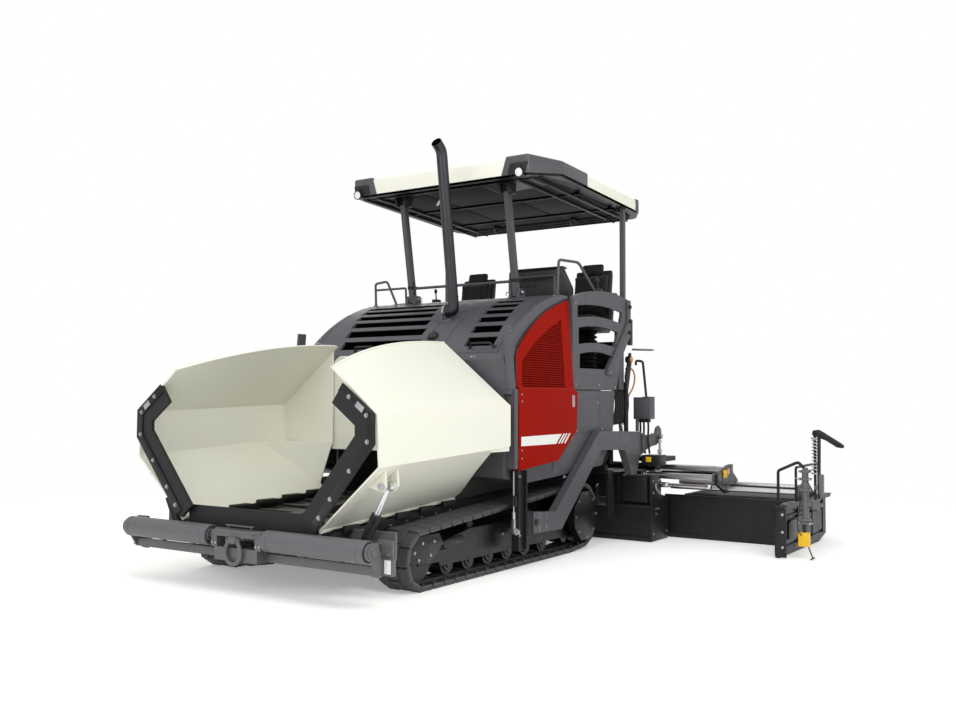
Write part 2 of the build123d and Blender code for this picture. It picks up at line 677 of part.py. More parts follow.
def make_side_guard():
    """Plate beside the platform, with three windows under arched rails, and the rear post's stub."""
    x0, x1 = GUARD_X
    with BuildPart() as guard:
        with BuildSketch(side_plane(x0)) as outline:
            with BuildLine():
                Polyline((1380, 2490), (1200, 2080), (1070, 1690), (1010, 1552), (75, 1552), (75, 2440))
                ThreePointArc((75, 2440), (700, 2545), (1380, 2490))
            make_face()
            # front y, low z, high z, rear y at the low and at the high edge of each window
            for edge, low, high, rear_low, rear_high in ((178, 2245, 2362, 1120, 1160),
                    (200, 1985, 2150, 995, 1060), (220, 1758, 1895, 800, 930)):
                with BuildLine():
                    Polyline((rear_low, low), (rear_high, high))
                    ThreePointArc((rear_high, high), (600, high + 32), (edge, high))
                    Polyline((edge, high), (edge, low))
                    ThreePointArc((edge, low), (560, low + (32 if low > 1800 else 0.5)),
                        (rear_low, low))
                make_face(mode=Mode.SUBTRACT)
        extrude(outline.sketch, amount=x1 - x0)
        # upright inside the plate, the rear post's stub and foot pin on top of it
        block((1110, x0), (1150, 1262), (1560, 2230))
        block((1112, 1160), (1265, 1335), (2180, 2440))
        block((1112, x0), (1240, 1335), (2180, 2300))
        rod((1150, REAR_POST[0][0], REAR_POST[0][1]), (x0 + 10, REAR_POST[0][0], REAR_POST[0][1]), 16)
    return guard.part


def make_lift_bracket():
    """Upper pin of the screed lift cylinder and the plate that carries it."""
    with BuildPart() as bracket:
        block((1100, 1110), (1200, 1290), (1930, 2030))
        rod((LIFT_X - 38, LIFT_TOP[0], LIFT_TOP[1]), (1105, LIFT_TOP[0], LIFT_TOP[1]), 17.5)
    return bracket.part


def make_hand_rails():
    with BuildPart() as rails:
        for s in (1, -1):
            foot, top = HOOD_TOP_Z, HOOD_TOP_Z + 250
            bent_tube([(s * 1090, -40, foot), (s * 1090, -40, top), (s * 850, -40, top),
                (s * 850, -40, foot)], 45, 14)
    return rails.part


def make_console():
    (x0, x1), (y0, y1) = CONSOLE_X, CONSOLE_Y
    with BuildPart() as console:
        block((x0 + 60, x1 - 60), (470, 730), (FLOOR_Z + 25, FLOOR_Z + 45))
        block((x0 + 210, x1 - 210), (520, 680), (FLOOR_Z + 40, 2380))
        prism_x([(y0, 2380), (y0, 2790), (y0 + 60, 2850), (y0 + 110, 2850), (y1, 2620), (y1, 2540),
            (y1 - 80, 2380)], (x0, x1))
        bent_tube([(x0 + 50, y0 + 80, 2830), (x0 + 50, y0 + 20, 2900), (x1 - 50, y0 + 20, 2900),
            (x1 - 50, y0 + 80, 2830)], 30, 13)
    return console.part


def make_seat_frame():
    x, y = SEAT_AXIS
    with BuildPart() as frame:
        rod((x, y, FLOOR_Z + 6), (x, y, FLOOR_Z + 26), 170)
        rod((x, y, FLOOR_Z + 20), (x, y, 2180), 75)
        block((x - 215, x + 215), (y - 215, y + 205), (2170, 2225))
        prism_x([(y + 150, 2225), (y + 215, 2225), (y + 305, 2890), (y + 275, 2890)],
            (x - 190, x + 190))
        for side in ((x - 285, x - 235), (x + 235, x + 285)):
            block(side, (y - 170, y + 130), (2430, 2475))
            block(side, (y + 90, y + 130), (2180, 2435))
            block((min(side[0], x - 215), max(side[1], x - 215)) if side[0] < x else (x + 200,
                side[1]), (y + 90, y + 130), (2180, 2220))
    return frame.part


def make_seat_cushions():
    """Closed solids of the soft seat and back."""
    x, y = SEAT_AXIS
    with BuildPart() as cushions:
        block((x - 225, x + 225), (y - 230, y + 140), (2227, 2330))
        prism_x([(y + 70, 2345), (y + 160, 2345), (y + 268, 2925), (y + 180, 2925)], (x - 220, x + 220))
    return cushions.part


# ---------------------------------------------------------------- roof
def make_roof():
    slope = (3705 - 3595) / (ROOF_REAR - ROOF_FRONT)

    def top(y):
        return 3705 - (y - ROOF_FRONT) * slope

    plan = [
        (-1040, ROOF_FRONT), (1040, ROOF_FRONT), (ROOF_HALF, -130), (ROOF_HALF, 1560),
        (1060, ROOF_REAR), (-1060, ROOF_REAR), (-ROOF_HALF, 1560), (-ROOF_HALF, -130),
    ]
    room = [
        (-1020, ROOF_FRONT + 32), (1020, ROOF_FRONT + 32), (ROOF_HALF - 32, -118), (ROOF_HALF - 32,
            1550),
        (1045, ROOF_REAR - 32), (-1045, ROOF_REAR - 32), (-ROOF_HALF + 32, 1550), (-ROOF_HALF + 32,
            -118),
    ]
    outer = [
        (ROOF_FRONT, 3500), (ROOF_FRONT, top(ROOF_FRONT)), (ROOF_FRONT + 150, top(ROOF_FRONT) + 25),
        (ROOF_REAR - 60, top(ROOF_REAR)), (ROOF_REAR, top(ROOF_REAR) - 45), (ROOF_REAR, 3430),
    ]
    inner = [(-1000, 3300), (-1000, top(-1000) - 8), (2300, top(2300) - 30), (2300, 3300)]
    with BuildPart() as roof:
        prism_x(outer, (-ROOF_HALF, ROOF_HALF))
        prism_z(plan, (3300, 3800), mode=Mode.INTERSECT)
        with BuildPart(mode=Mode.PRIVATE) as hollow:
            prism_z(room, (3300, 3800))
            prism_x(inner, (-ROOF_HALF, ROOF_HALF), mode=Mode.INTERSECT)
        add(hollow.part, mode=Mode.SUBTRACT)
        for x in (FRONT_POST_X, -FRONT_POST_X):
            for d in (-62, 38):
                prism_x([(-270, 3440), (-130, 3440), (-130, 3680), (-270, 3680)], (x + d, x + d + 24))
            rod((x - 60, FRONT_POST[1][0], FRONT_POST[1][1]),
                (x - 33, FRONT_POST[1][0], FRONT_POST[1][1]), 14)
            rod((x + 33, FRONT_POST[1][0], FRONT_POST[1][1]),
                (x + 60, FRONT_POST[1][0], FRONT_POST[1][1]), 14)
        for x in ((1080, 1104), (-1104, -1080)):
            block(x, (1250, 1350), (3440, 3640))
    return roof.part


def make_front_posts():
    (foot_y, foot_z), (head_y, head_z) = FRONT_POST
    half = 30.0
    with BuildPart() as posts:
        for x in (FRONT_POST_X, -FRONT_POST_X):
            line = [(foot_y - half, foot_z - 8), (foot_y + half, foot_z + 2),
                (head_y + half, head_z + 10), (head_y - half, head_z)]
            prism_x(line, (x - 28, x + 28))
        ty = foot_y + (head_y - foot_y) * 0.14
        tz = foot_z + (head_z - foot_z) * 0.14
        rod((-FRONT_POST_X, ty, tz), (FRONT_POST_X, ty, tz), 14)
    return posts.part


def make_rear_posts():
    (foot_y, foot_z), (head_y, head_z) = REAR_POST
    with BuildPart() as posts:
        for x in (REAR_POST_X, -REAR_POST_X):
            block((x - 23, x + 23), (foot_y - 25, foot_y + 25), (foot_z, head_z + 10))
            rod((x - 23, foot_y, foot_z), (x + 23, foot_y, foot_z), 25)
            rod((x - 23, foot_y, foot_z), (x + 23, foot_y, foot_z), 16.3, mode=Mode.SUBTRACT)
            x_out = x + 40 if x > 0 else x - 40
            rod((x, foot_y, foot_z), (x_out, foot_y, foot_z), 16.3, mode=Mode.SUBTRACT)
    return posts.part


# ---------------------------------------------------------------- exhaust
def exhaust_point(distance):
    lean = radians(EXHAUST_LEAN)
    return (EXHAUST_X, EXHAUST_Y - sin(lean) * distance, EXHAUST_Z + cos(lean) * distance)


def make_exhaust_pipe():
    tip = exhaust_point(EXHAUST_LENGTH)
    elbow = exhaust_point(EXHAUST_LENGTH - 120)
    mouth = (tip[0], tip[1] - 75, tip[2] + 10)
    with BuildPart() as pipe:
        bent_tube([(EXHAUST_X - 75, EXHAUST_Y, EXHAUST_Z), (EXHAUST_X, EXHAUST_Y, EXHAUST_Z),
            exhaust_point(120)], 62, EXHAUST_R)
        rod(exhaust_point(115), elbow, EXHAUST_R)
        rod(exhaust_point(EXHAUST_LENGTH - 125), mouth, EXHAUST_R - 2)
        rod(exhaust_point(EXHAUST_LENGTH - 110), (mouth[0], mouth[1] - 60, mouth[2] + 70),
            EXHAUST_R - 8, mode=Mode.SUBTRACT)
    return pipe.part


# ---------------------------------------------------------------- screed tow arms and lift
def make_guide_rail():
    with BuildPart() as rail:
        block((1200, 1272), (-1030, -1012), (165, 844))
        block((1200, 1272), (-905, -887), (165, 844))
        block((1228, 1244), (-1015, -900), (165, 844))
        block((BODY_HALF, 1230), (-1015, -905), (760, 844))
    return rail.part


def make_tow_slide():
    pin_y, pin_z = TOW_PIN
    with BuildPart() as slide:
        block((1160, 1272), (-879, -812), (280, 490))
        block((1160, 1190), (-850, -700), (310, 460))
        rod((1185, pin_y, pin_z), (1282, pin_y, pin_z), 27.7)
    return slide.part


def make_tow_arm():
    pin_y, pin_z = TOW_PIN
    outline = [
        (-788, 290), (-788, 477), (-400, 446), (483, 1148), (1413, 1119), (1600, 1060), (1615, 980),
        (1537, 897), (1410, 861), (1330, 672), (1200, 672), (1187, 727), (1046, 939), (520,
            962), (-284, 277),
    ]
    with BuildPart() as arm:
        prism_x(outline, ARM_X)
        rod((1150, pin_y, pin_z), (1300, pin_y, pin_z), 28, mode=Mode.SUBTRACT)
    return arm.part


def make_lift_pin():
    """Pin on the arm's inner face for the lift cylinder's eye."""
    with BuildPart() as pin:
        rod((1096, LIFT_EYE[0], LIFT_EYE[1]), (ARM_X[0], LIFT_EYE[0], LIFT_EYE[1]), 20)
    return pin.part


def lift_point(distance):
    _, (uy, uz) = cylinder_vector(LIFT_TOP, LIFT_EYE)
    return (LIFT_X, LIFT_TOP[0] + uy * distance, LIFT_TOP[1] + uz * distance)


def make_lift_barrel():
    y, z = LIFT_TOP
    with BuildPart() as barrel:
        rod(lift_point(0), lift_point(500), 40)
        rod((LIFT_X - 30, y, z), (LIFT_X + 30, y, z), 42)
        rod(lift_point(60), lift_point(520), 23.3, mode=Mode.SUBTRACT)
        rod((LIFT_X - 60, y, z), (LIFT_X + 60, y, z), 17.8, mode=Mode.SUBTRACT)
    return barrel.part


def make_lift_rod():
    length, _ = cylinder_vector(LIFT_TOP, LIFT_EYE)
    y, z = LIFT_EYE
    with BuildPart() as piston:
        rod(lift_point(420), lift_point(length - 20), 23)
        rod((LIFT_X - 25, y, z), (LIFT_X + 25, y, z), 40)
    return piston.part


# ---------------------------------------------------------------- augers
def make_auger():
    x0, x1 = 110.0, 1140.0
    with BuildPart() as auger:
        rod((x0, AUGER_Y, AUGER_Z), (x1, AUGER_Y, AUGER_Z), 45)
        for i in range(6):
            x = x0 + 90 + i * 170
            tilt = Plane(origin=(x, AUGER_Y, AUGER_Z), z_dir=(1, 0.42 * cos(i), 0.42 * sin(i)))
            with BuildSketch(tilt, mode=Mode.PRIVATE) as disc:
                Circle(AUGER_R - 8)
            extrude(disc.sketch, amount=14)
    return auger.part


def make_auger_frame():
    with BuildPart() as frame:
        # beam over the tunnels' mouths, lower beams outside them
        block((-830, 830), (845, 900), (985, 1045))
        for s in (1, -1):
            block(sorted((s * 790, s * 1150)), (845, 900), (700, 790))
            block(sorted((s * 790, s * 830)), (845, 900), (780, 990))
            block(sorted((s * 705, s * 790)), (820, 850), (620, 1045))
            x = sorted((s * 1152, s * 1176))
            prism_x([(860, 250), (1000, 250), (1010, 400), (960, 740), (860, 740)], x)
            block(sorted((s * 1145, s * 1155)), (860, 900), (700, 740))
            rod((s * 1060, 872, 780), (s * 1060, 872, 950), 32)
        # gear case between the augers, hung on a narrow neck
        block((-85, 85), (850, 1010), (330, 640))
        block((-18, 18), (850, 895), (630, 995))
    return frame.part


# ---------------------------------------------------------------- screed
def make_main_screed():
    front, back = SCREED_FRONT, SCREED_BACK
    section = [
        (front, 0), (back, 0), (back, 440), (1425, 470), (1425, 620), (1340, 672), (front + 45, 672),
        (front + 45, 385), (front, 360), (front, 60), (front - 8, 40),
    ]
    with BuildPart() as screed:
        prism_x(section, (-SCREED_HALF, SCREED_HALF))
        prism_x([(front + 60, 120), (back - 60, 120), (back - 60, 380), (front + 60, 440)],
            (-SCREED_HALF + 40, SCREED_HALF - 40), mode=Mode.SUBTRACT)
    return screed.part


def make_screed_guides():
    """Sleeves on the main screed that the carriages' tubes slide in, with the bridge to the walkway."""
    with BuildPart() as guides:
        for y, z in UPPER_TUBES:
            for s in (1, -1):
                rod((s * 15, y, z), (s * 1275, y, z), UPPER_R + 12)
        for x in (-1200, -620, -40, 580, 1160):
            block((x, x + 40), (1427, 1960), (612, 672))
            block((x, x + 40), (1427, 1560), (474, 660))
            block((x, x + 40), (1790, 1915), (612, 745))
        for x in (-620, 580):
            block((x, x + 40), (1900, 2470), (612, 672))
        for y, z in UPPER_TUBES:
            rod((-1300, y, z), (1300, y, z), UPPER_R + 0.3, mode=Mode.SUBTRACT)
    return guides.part


def make_walkway():
    with BuildPart() as walkway:
        block((-SCREED_HALF, SCREED_HALF), (2472, REAR_Y), (640, 672))
        for x in (-620, 580):
            block((x, x + 40), (2472, REAR_Y - 40), (600, 640))
        block((-SCREED_HALF, SCREED_HALF), (REAR_Y - 30, REAR_Y), (560, 640))
        for s in (1, -1):
            x = sorted((s * 1150, s * 1480))
            block(x, (1500, 1880), (800, 850))
            x = sorted((s * 1165, s * 1195))
            block(x, (1830, 1870), (790, 801))
    return walkway.part


def make_carriage():
    x0, x1 = CARRIAGE_X
    plate = [(1440, 600), (1440, 700), (1470, 715), (1830, 782), (1900, 782), (1905, 700),
        (2050, 610), (2050, 520), (1700, 490)]
    with BuildPart() as carriage:
        for y, z in UPPER_TUBES:
            rod((800, y, z), (x1, y, z), UPPER_R)
        prism_x(plate, (x0, x1))
        for y, z in LOWER_TUBES:
            rod((x0 - 10, y, z), (x1 + 10, y, z), LOWER_R + 0.3, mode=Mode.SUBTRACT)
    return carriage.part


def make_extension():
    x0, x1 = EXT_INNER, EXT_OUTER
    section = [
        (EXT_FRONT, 0), (EXT_BACK, 0), (EXT_BACK, 330), (EXT_BACK - 100, 370), (EXT_FRONT + 50, 370),
        (EXT_FRONT + 30, 445), (EXT_FRONT, 445), (EXT_FRONT, 60), (EXT_FRONT - 8, 40),
    ]
    with BuildPart() as extension:
        prism_x(section, (x0, x1))
        prism_x([(EXT_FRONT + 80, 110), (EXT_BACK - 50, 110), (EXT_BACK - 50, 310),
            (EXT_FRONT + 80, 330)], (x0 + 40, x1 - 40), mode=Mode.SUBTRACT)
        # outer end plate that carries the guide tubes and the end gate
        prism_x([(EXT_FRONT, 0), (2300, 0), (2300, 480), (2060, 620), (1690, 600), (1690, 400)],
            (x1, GATE_X[0] - 5))
        for y, z in LOWER_TUBES:
            rod((x0 + 50, y, z), (x1 + 10, y, z), LOWER_R)
        # walkway
        block((x0, x1), (EXT_BACK, 2790), (385, 410))
        block((x0, x1), (EXT_BACK, EXT_BACK + 30), (200, 400))
        for x in (x0, x1 - 30):
            prism_x([(EXT_BACK, 200), (2770, 390), (EXT_BACK, 390)], (x, x + 30))
    return extension.part


def make_end_gate():
    x0, x1 = GATE_X
    with BuildPart() as gate:
        prism_x([(GATE_FRONT, 8), (GATE_REAR - 250, 8), (GATE_REAR, 60), (GATE_REAR, 465),
            (GATE_FRONT, 465)], (x0, x1))
        block((x0, x1 + 45), (GATE_FRONT - 20, GATE_REAR + 20), (440, 472))
        block((x1, x1 + 14), (GATE_FRONT + 120, GATE_REAR - 200), (120, 330))
        block((x0 - 2, x1 + 60), (GATE_FRONT, GATE_FRONT + 16), (8, 445))
        # skid
        block((x0, x1), (GATE_FRONT, GATE_REAR - 250), (0, 10))
    return gate.part


def make_sensor():
    """Grade sensor's holder on the end gate's front corner: arm, column, crank post and handle."""
    x, y = 3110.0, SENSOR_Y
    with BuildPart() as sensor:
        block((GATE_X[1] + 62, 3270), (y - 22, y + 22), (478, 520))
        block((GATE_X[1] + 10, GATE_X[1] + 90), (y - 40, y + 40), (474, 500))
        rod((x, y, 340), (x, y, 830), 30)
        rod((3200, y, 500), (3200, y, 1165), 17)
        block((3235, 3275), (y - 30, y + 30), (600, 780))
        block((3195, 3240), (y - 12, y + 12), (640, 680))
        rod((x, y, 810), (3205, y, 830), 14)
        prism_y([(3185, 1140), (3215, 1185), (3255, 1175), (3460, 1050), (3450, 1020), (3410, 1030),
            (3230, 1120)], (y - 22, y + 22))
        block((x - 60, x + 60), (y - 35, y + 35), (318, 342))
        block((x - 65, x + 35), (y - 30, y + 30), (115, 245))
        rod((x, y, 240), (x, y, 320), 20)
        rod((x + 20, y, 120), (x + 60, y, 14), 7)
        block((x + 15, x + 105), (y - 7, y + 7), (4, 17))
        bent_tube([(GATE_X[1] + 25, y, 472), (GATE_X[1] + 25, y, 850), (x, y, 905), (x, y, 820)],
            35, 12)
    return sensor.part


def make_cabinet():
    """Screed control cabinet on a short post above the tow arm's rear end."""
    with BuildPart() as cabinet:
        block((1205, 1390), (1410, 1540), (1250, 1480))
        rod((1238, 1430, 1121), (1238, 1430, 1252), 18)
    return cabinet.part


# ---------------------------------------------------------------- build
save_pair(make_track(), "track")
save_both(make_track_frame(), "track_frames")
save(make_main_frame(), "main_frame")
save(make_conveyor(), "conveyor")
save(make_front_apron(), "front_apron")
save_both(make_side_bracket(), "side_brackets")
save_pair(make_hopper_wing(), "hopper_wing")
save_pair(make_wing_seal(), "wing_seal")
save_pair(make_wing_barrel(), "wing_barrel")
save_pair(make_wing_rod(), "wing_rod")
save(make_roller_beam(), "roller_beam")
save_pair(make_push_roller(), "push_roller")
save(make_tow_ring(), "tow_ring")
hood, hatches = make_hood()
save(hood, "hood")
save(hatches["left"], "hood_hatch_left")
save(hatches["right"], "hood_hatch_right")
save(make_body(), "lower_body")
save_pair(make_side_door(), "side_door")
save(make_engine(), "engine_block")
save(make_platform(), "platform")
side = Compound(children=[make_side_guard(), make_lift_bracket(), make_door_post()])
save_both(side, "side_guards")
save(make_hand_rails(), "hand_rails")
save(make_console(), "console")
save_pair(make_seat_frame(), "seat_frame")
save_pair(make_seat_cushions(), "seat_cushion")
save(make_roof(), "roof")
save(make_front_posts(), "front_posts")
save(make_rear_posts(), "rear_posts")
save(make_exhaust_pipe(), "exhaust_pipe")
save_both(make_guide_rail(), "guide_rails")
save_both(make_tow_slide(), "tow_slides")
save_both(Compound(children=[make_tow_arm(), make_lift_pin()]), "tow_arms")
save_pair(make_lift_barrel(), "lift_barrel")
save_pair(make_lift_rod(), "lift_rod")
save_pair(make_auger(), "auger")
save(make_auger_frame(), "auger_frame")
save(make_main_screed(), "main_screed")
save(make_screed_guides(), "screed_guides")
save(make_walkway(), "walkway")
save_pair(make_carriage(), "carriage")
save_pair(make_extension(), "extension")
save_pair(make_end_gate(), "end_gate")
save_pair(make_sensor(), "sensor")
save_both(make_cabinet(), "control_cabinets")
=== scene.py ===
"""Finishes, fittings and soft goods of a tracked asphalt paver, built round its CAD frame."""

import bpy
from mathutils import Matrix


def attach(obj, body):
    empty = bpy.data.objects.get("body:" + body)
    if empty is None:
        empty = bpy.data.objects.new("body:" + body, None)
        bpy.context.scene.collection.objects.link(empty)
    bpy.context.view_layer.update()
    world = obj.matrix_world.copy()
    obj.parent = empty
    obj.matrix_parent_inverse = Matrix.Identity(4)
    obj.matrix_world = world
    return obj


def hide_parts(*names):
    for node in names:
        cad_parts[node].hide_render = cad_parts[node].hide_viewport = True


bl_info = {
    "name": "Asphalt paver looks",
    "version": (1, 0, 0),
    "blender": (4, 5, 0),
    "location": "View3D > Sidebar > Paver",
    "description": "Builds the finishes and fittings of a tracked asphalt paver",
    "category": "Add Mesh",
}

from math import acos, atan2, cos, hypot, pi, radians, sin

import bmesh
import bpy
from bpy.props import FloatProperty, FloatVectorProperty, IntProperty, PointerProperty
from bpy.types import Operator, Panel, PropertyGroup
from mathutils import Matrix, Vector

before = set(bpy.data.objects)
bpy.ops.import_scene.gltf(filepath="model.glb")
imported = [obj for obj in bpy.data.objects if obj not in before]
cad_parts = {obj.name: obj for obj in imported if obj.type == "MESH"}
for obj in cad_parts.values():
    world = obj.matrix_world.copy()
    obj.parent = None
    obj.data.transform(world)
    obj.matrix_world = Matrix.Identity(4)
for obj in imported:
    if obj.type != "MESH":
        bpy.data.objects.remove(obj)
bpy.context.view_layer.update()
SIDES = (("left", 1), ("right", -1))
MM = 1000                # millimetres in a metre, which turns a pattern's size into its scale
WAVE_BANDS = 20          # bands a metre of a Wave texture at scale 1
ROAD_DUST = "#8B8578"


# ---------------------------------------------------------------- settings
def linear(hex_code):
    """An sRGB hex colour as linear red, green and blue."""
    values = [int(hex_code[i:i + 2], 16) / 255 for i in (1, 3, 5)]
    return tuple(v / 12.92 if v <= 0.04045 else ((v + 0.055) / 1.055) ** 2.4 for v in values)


def colour(name, hex_code, description):
    """A colour property with an sRGB default."""
    return FloatVectorProperty(name=name, description=description, subtype="COLOR", size=3, min=0, max=1,
        default=linear(hex_code))


class PaverPaint(PropertyGroup):
    """Colours of the paver's finishes."""
    cream: colour("Cream", "#EFEFE1", "Enamel of the hopper wings and the roof's bands")
    body_grey: colour("Body grey", "#525156", "Powder coat of hood, body, guards and tow arms")
    roller_grey: colour("Roller grey", "#626165", "Powder coat of push rollers and their beam")
    chassis_black: colour("Chassis black", "#1D1D20", "Powder coat of frame, screed and brackets")
    door_red: colour("Door red", "#961000", "Enamel of the side doors")
    rubber: colour("Rubber", "#141416", "Moulded rubber of pads, seals and hoses")
    signal_yellow: colour("Signal yellow", "#F2C114", "Enamel of reflectors and sensor boxes")
    floor: colour("Floor", "#F4F4F2", "Studio floor")


class PaverSizes(PropertyGroup):
    """Sizes of repeated fittings."""
    bolt_radius: FloatProperty(name="Bolt radius", description="Half the width of a hexagon head",
        default=0.011, min=0.004, max=0.03, unit="LENGTH")
    shoe_count: IntProperty(name="Track shoes", description="Shoes in one track", default=46, min=30, max=70)
    shoe_gap: FloatProperty(name="Shoe gap", description="Gap between two track shoes", default=0.010,
        min=0.002, max=0.03, unit="LENGTH")
    louvre_rows: IntProperty(name="Louvre rows", description="Slots in each hood hatch", default=6, min=3,
        max=9)
    slat_pitch: FloatProperty(name="Slat pitch", description="Spacing of the slats in a door's grille",
        default=0.021, min=0.01, max=0.05, unit="LENGTH")
    auger_pitch: FloatProperty(name="Auger pitch", description="Length of one turn of an auger flight",
        default=0.30, min=0.15, max=0.6, unit="LENGTH")


# ---------------------------------------------------------------- materials
def add_node(tree, kind, inputs=None, **settings):
    """Adds a shader node with its settings; inputs holds values and other nodes' outputs."""
    node = tree.nodes.new(kind)
    for name, value in settings.items():
        setattr(node, name, value)
    for key, value in (inputs or {}).items():
        socket = node.inputs[key]
        if isinstance(value, bpy.types.NodeSocket):
            tree.links.new(value, socket)
        elif socket.type == "RGBA":
            socket.default_value = (*value[:3], 1)
        else:
            socket.default_value = value
    return node


def new_material(name):
    """An empty node material and its Object coordinates."""
    material = bpy.data.materials.new(name)
    material.use_nodes = True
    tree = material.node_tree
    tree.nodes.clear()
    place = add_node(tree, "ShaderNodeTexCoord").outputs["Object"]
    return material, tree, place


def shade(rgb, factor):
    """A colour made lighter or darker."""
    return tuple(min(1.0, c * factor) for c in rgb)


def grained(tree, pattern, rough, spread, inputs):
    """Ends a material: its roughness follows a pattern, about a middle value; inputs holds the rest."""
    sheen = add_node(tree, "ShaderNodeMapRange", {
        "Value": pattern, "From Min": 0.3, "From Max": 0.7,
        "To Min": rough - spread, "To Max": rough + spread}).outputs["Result"]
    shader = add_node(tree, "ShaderNodeBsdfPrincipled", {"Roughness": sheen, **inputs}).outputs[0]
    add_node(tree, "ShaderNodeOutputMaterial", {"Surface": shader})


def coated(name, rgb, rough, grain_mm, grain_depth, coat=0.0, dust=0.12, edge=0.004, drift=0.06, gloss=0.5,
           wear=0.055):
    """Paint on steel: its tint drifts, it has its own grain and eased edges, and a little dust low down."""
    material, tree, place = new_material(name)
    patches = add_node(tree, "ShaderNodeTexNoise", {"Vector": place, "Scale": MM / 260,
        "Detail": 3}).outputs["Fac"]
    tint = add_node(tree, "ShaderNodeMix", {0: patches, 6: shade(rgb, 1 - drift), 7: shade(rgb, 1 + drift)},
                    data_type="RGBA").outputs[2]
    # dust: full at the ground, gone at 0.9 m, broken into blotches
    height = add_node(tree, "ShaderNodeSeparateXYZ", {"Vector": place}).outputs["Z"]
    low = add_node(tree, "ShaderNodeMapRange", {
        "Value": height, "From Min": 0.0, "From Max": 0.9, "To Min": 1.0, "To Max": 0.0}).outputs["Result"]
    blotches = add_node(tree, "ShaderNodeTexNoise", {"Vector": place, "Scale": MM / 70,
        "Detail": 5}).outputs["Fac"]
    dirt = add_node(tree, "ShaderNodeMath", {0: low, 1: blotches}, operation="MULTIPLY").outputs[0]
    dirt = add_node(tree, "ShaderNodeMath", {0: dirt, 1: dust}, operation="MULTIPLY").outputs[0]
    tint = add_node(tree, "ShaderNodeMix", {0: dirt, 6: tint, 7: linear(ROAD_DUST)},
        data_type="RGBA").outputs[2]
    grain = add_node(tree, "ShaderNodeTexNoise", {
        "Vector": place, "Scale": MM / grain_mm, "Detail": 1}).outputs["Fac"]
    eased = add_node(tree, "ShaderNodeBevel", {"Radius": edge}, samples=3).outputs["Normal"]
    bump = add_node(tree, "ShaderNodeBump", {
        "Strength": 0.25, "Distance": grain_depth / MM, "Height": grain, "Normal": eased}).outputs["Normal"]
    rubbed = add_node(tree, "ShaderNodeTexNoise", {"Vector": place, "Scale": MM / 120,
        "Detail": 2}).outputs["Fac"]
    grained(tree, rubbed, rough, wear, {"Base Color": tint, "IOR": 1.5, "Specular IOR Level": gloss,
                                        "Coat Weight": coat, "Coat Roughness": 0.08, "Normal": bump})
    return material


def metal(name, rgb, rough, scratch_mm, spread=0.08, bump_mm=0.05, stretch=(1, 1, 1)):
    """Bare or plated metal with marks drawn along one direction."""
    material, tree, place = new_material(name)
    drawn = add_node(tree, "ShaderNodeMapping", {"Vector": place, "Scale": stretch}).outputs[0]
    marks = add_node(tree, "ShaderNodeTexNoise", {
        "Vector": drawn, "Scale": MM / scratch_mm, "Detail": 4, "Roughness": 0.6}).outputs["Fac"]
    stain = add_node(tree, "ShaderNodeTexNoise", {"Vector": place, "Scale": MM / 180,
        "Detail": 4}).outputs["Fac"]
    tint = add_node(tree, "ShaderNodeMix", {0: stain, 6: shade(rgb, 0.88), 7: shade(rgb, 1.08)},
                    data_type="RGBA").outputs[2]
    bump = add_node(tree, "ShaderNodeBump", {
        "Strength": 0.3, "Distance": bump_mm / MM, "Height": marks}).outputs["Normal"]
    grained(tree, marks, rough, spread, {"Base Color": tint, "Metallic": 1.0, "Normal": bump})
    return material


def moulded(name, rgb, rough, grain_mm, grain_depth, spread=0.06):
    """Plastic or rubber out of a grained mould."""
    material, tree, place = new_material(name)
    grain = add_node(tree, "ShaderNodeTexNoise", {
        "Vector": place, "Scale": MM / grain_mm, "Detail": 3}).outputs["Fac"]
    blotches = add_node(tree, "ShaderNodeTexNoise", {"Vector": place, "Scale": MM / 90,
        "Detail": 4}).outputs["Fac"]
    tint = add_node(tree, "ShaderNodeMix", {0: blotches, 6: shade(rgb, 0.85), 7: shade(rgb, 1.2)},
                    data_type="RGBA").outputs[2]
    bump = add_node(tree, "ShaderNodeBump", {
        "Strength": 0.4, "Distance": grain_depth / MM, "Height": grain}).outputs["Normal"]
    grained(tree, grain, rough, spread, {"Base Color": tint, "IOR": 1.49, "Normal": bump})
    return material


def woven(name, rgb):
    """Woven polyester seat cloth with sheen; threads 2 mm apart, drawn at 4 mm so that they show."""
    material, tree, place = new_material(name)
    warp, weft = (add_node(tree, "ShaderNodeTexWave", {
        "Vector": place, "Scale": MM / 4 / WAVE_BANDS, "Distortion": 0.6, "Detail": 1},
        bands_direction=way).outputs["Fac"] for way in "XZ")
    weave = add_node(tree, "ShaderNodeMath", {0: warp, 1: weft}, operation="MULTIPLY").outputs[0]
    tint = add_node(tree, "ShaderNodeMix", {0: weave, 6: shade(rgb, 0.7), 7: shade(rgb, 1.5)},
                    data_type="RGBA").outputs[2]
    bump = add_node(tree, "ShaderNodeBump", {"Strength": 0.5, "Distance": 0.0006,
        "Height": weave}).outputs["Normal"]
    shader = add_node(tree, "ShaderNodeBsdfPrincipled", {
        "Base Color": tint,
        "Roughness": 0.85,
        "Sheen Weight": 0.25,
        "Sheen Roughness": 0.4,
        "Normal": bump,
    }).outputs[0]
    add_node(tree, "ShaderNodeOutputMaterial", {"Surface": shader})
    return material


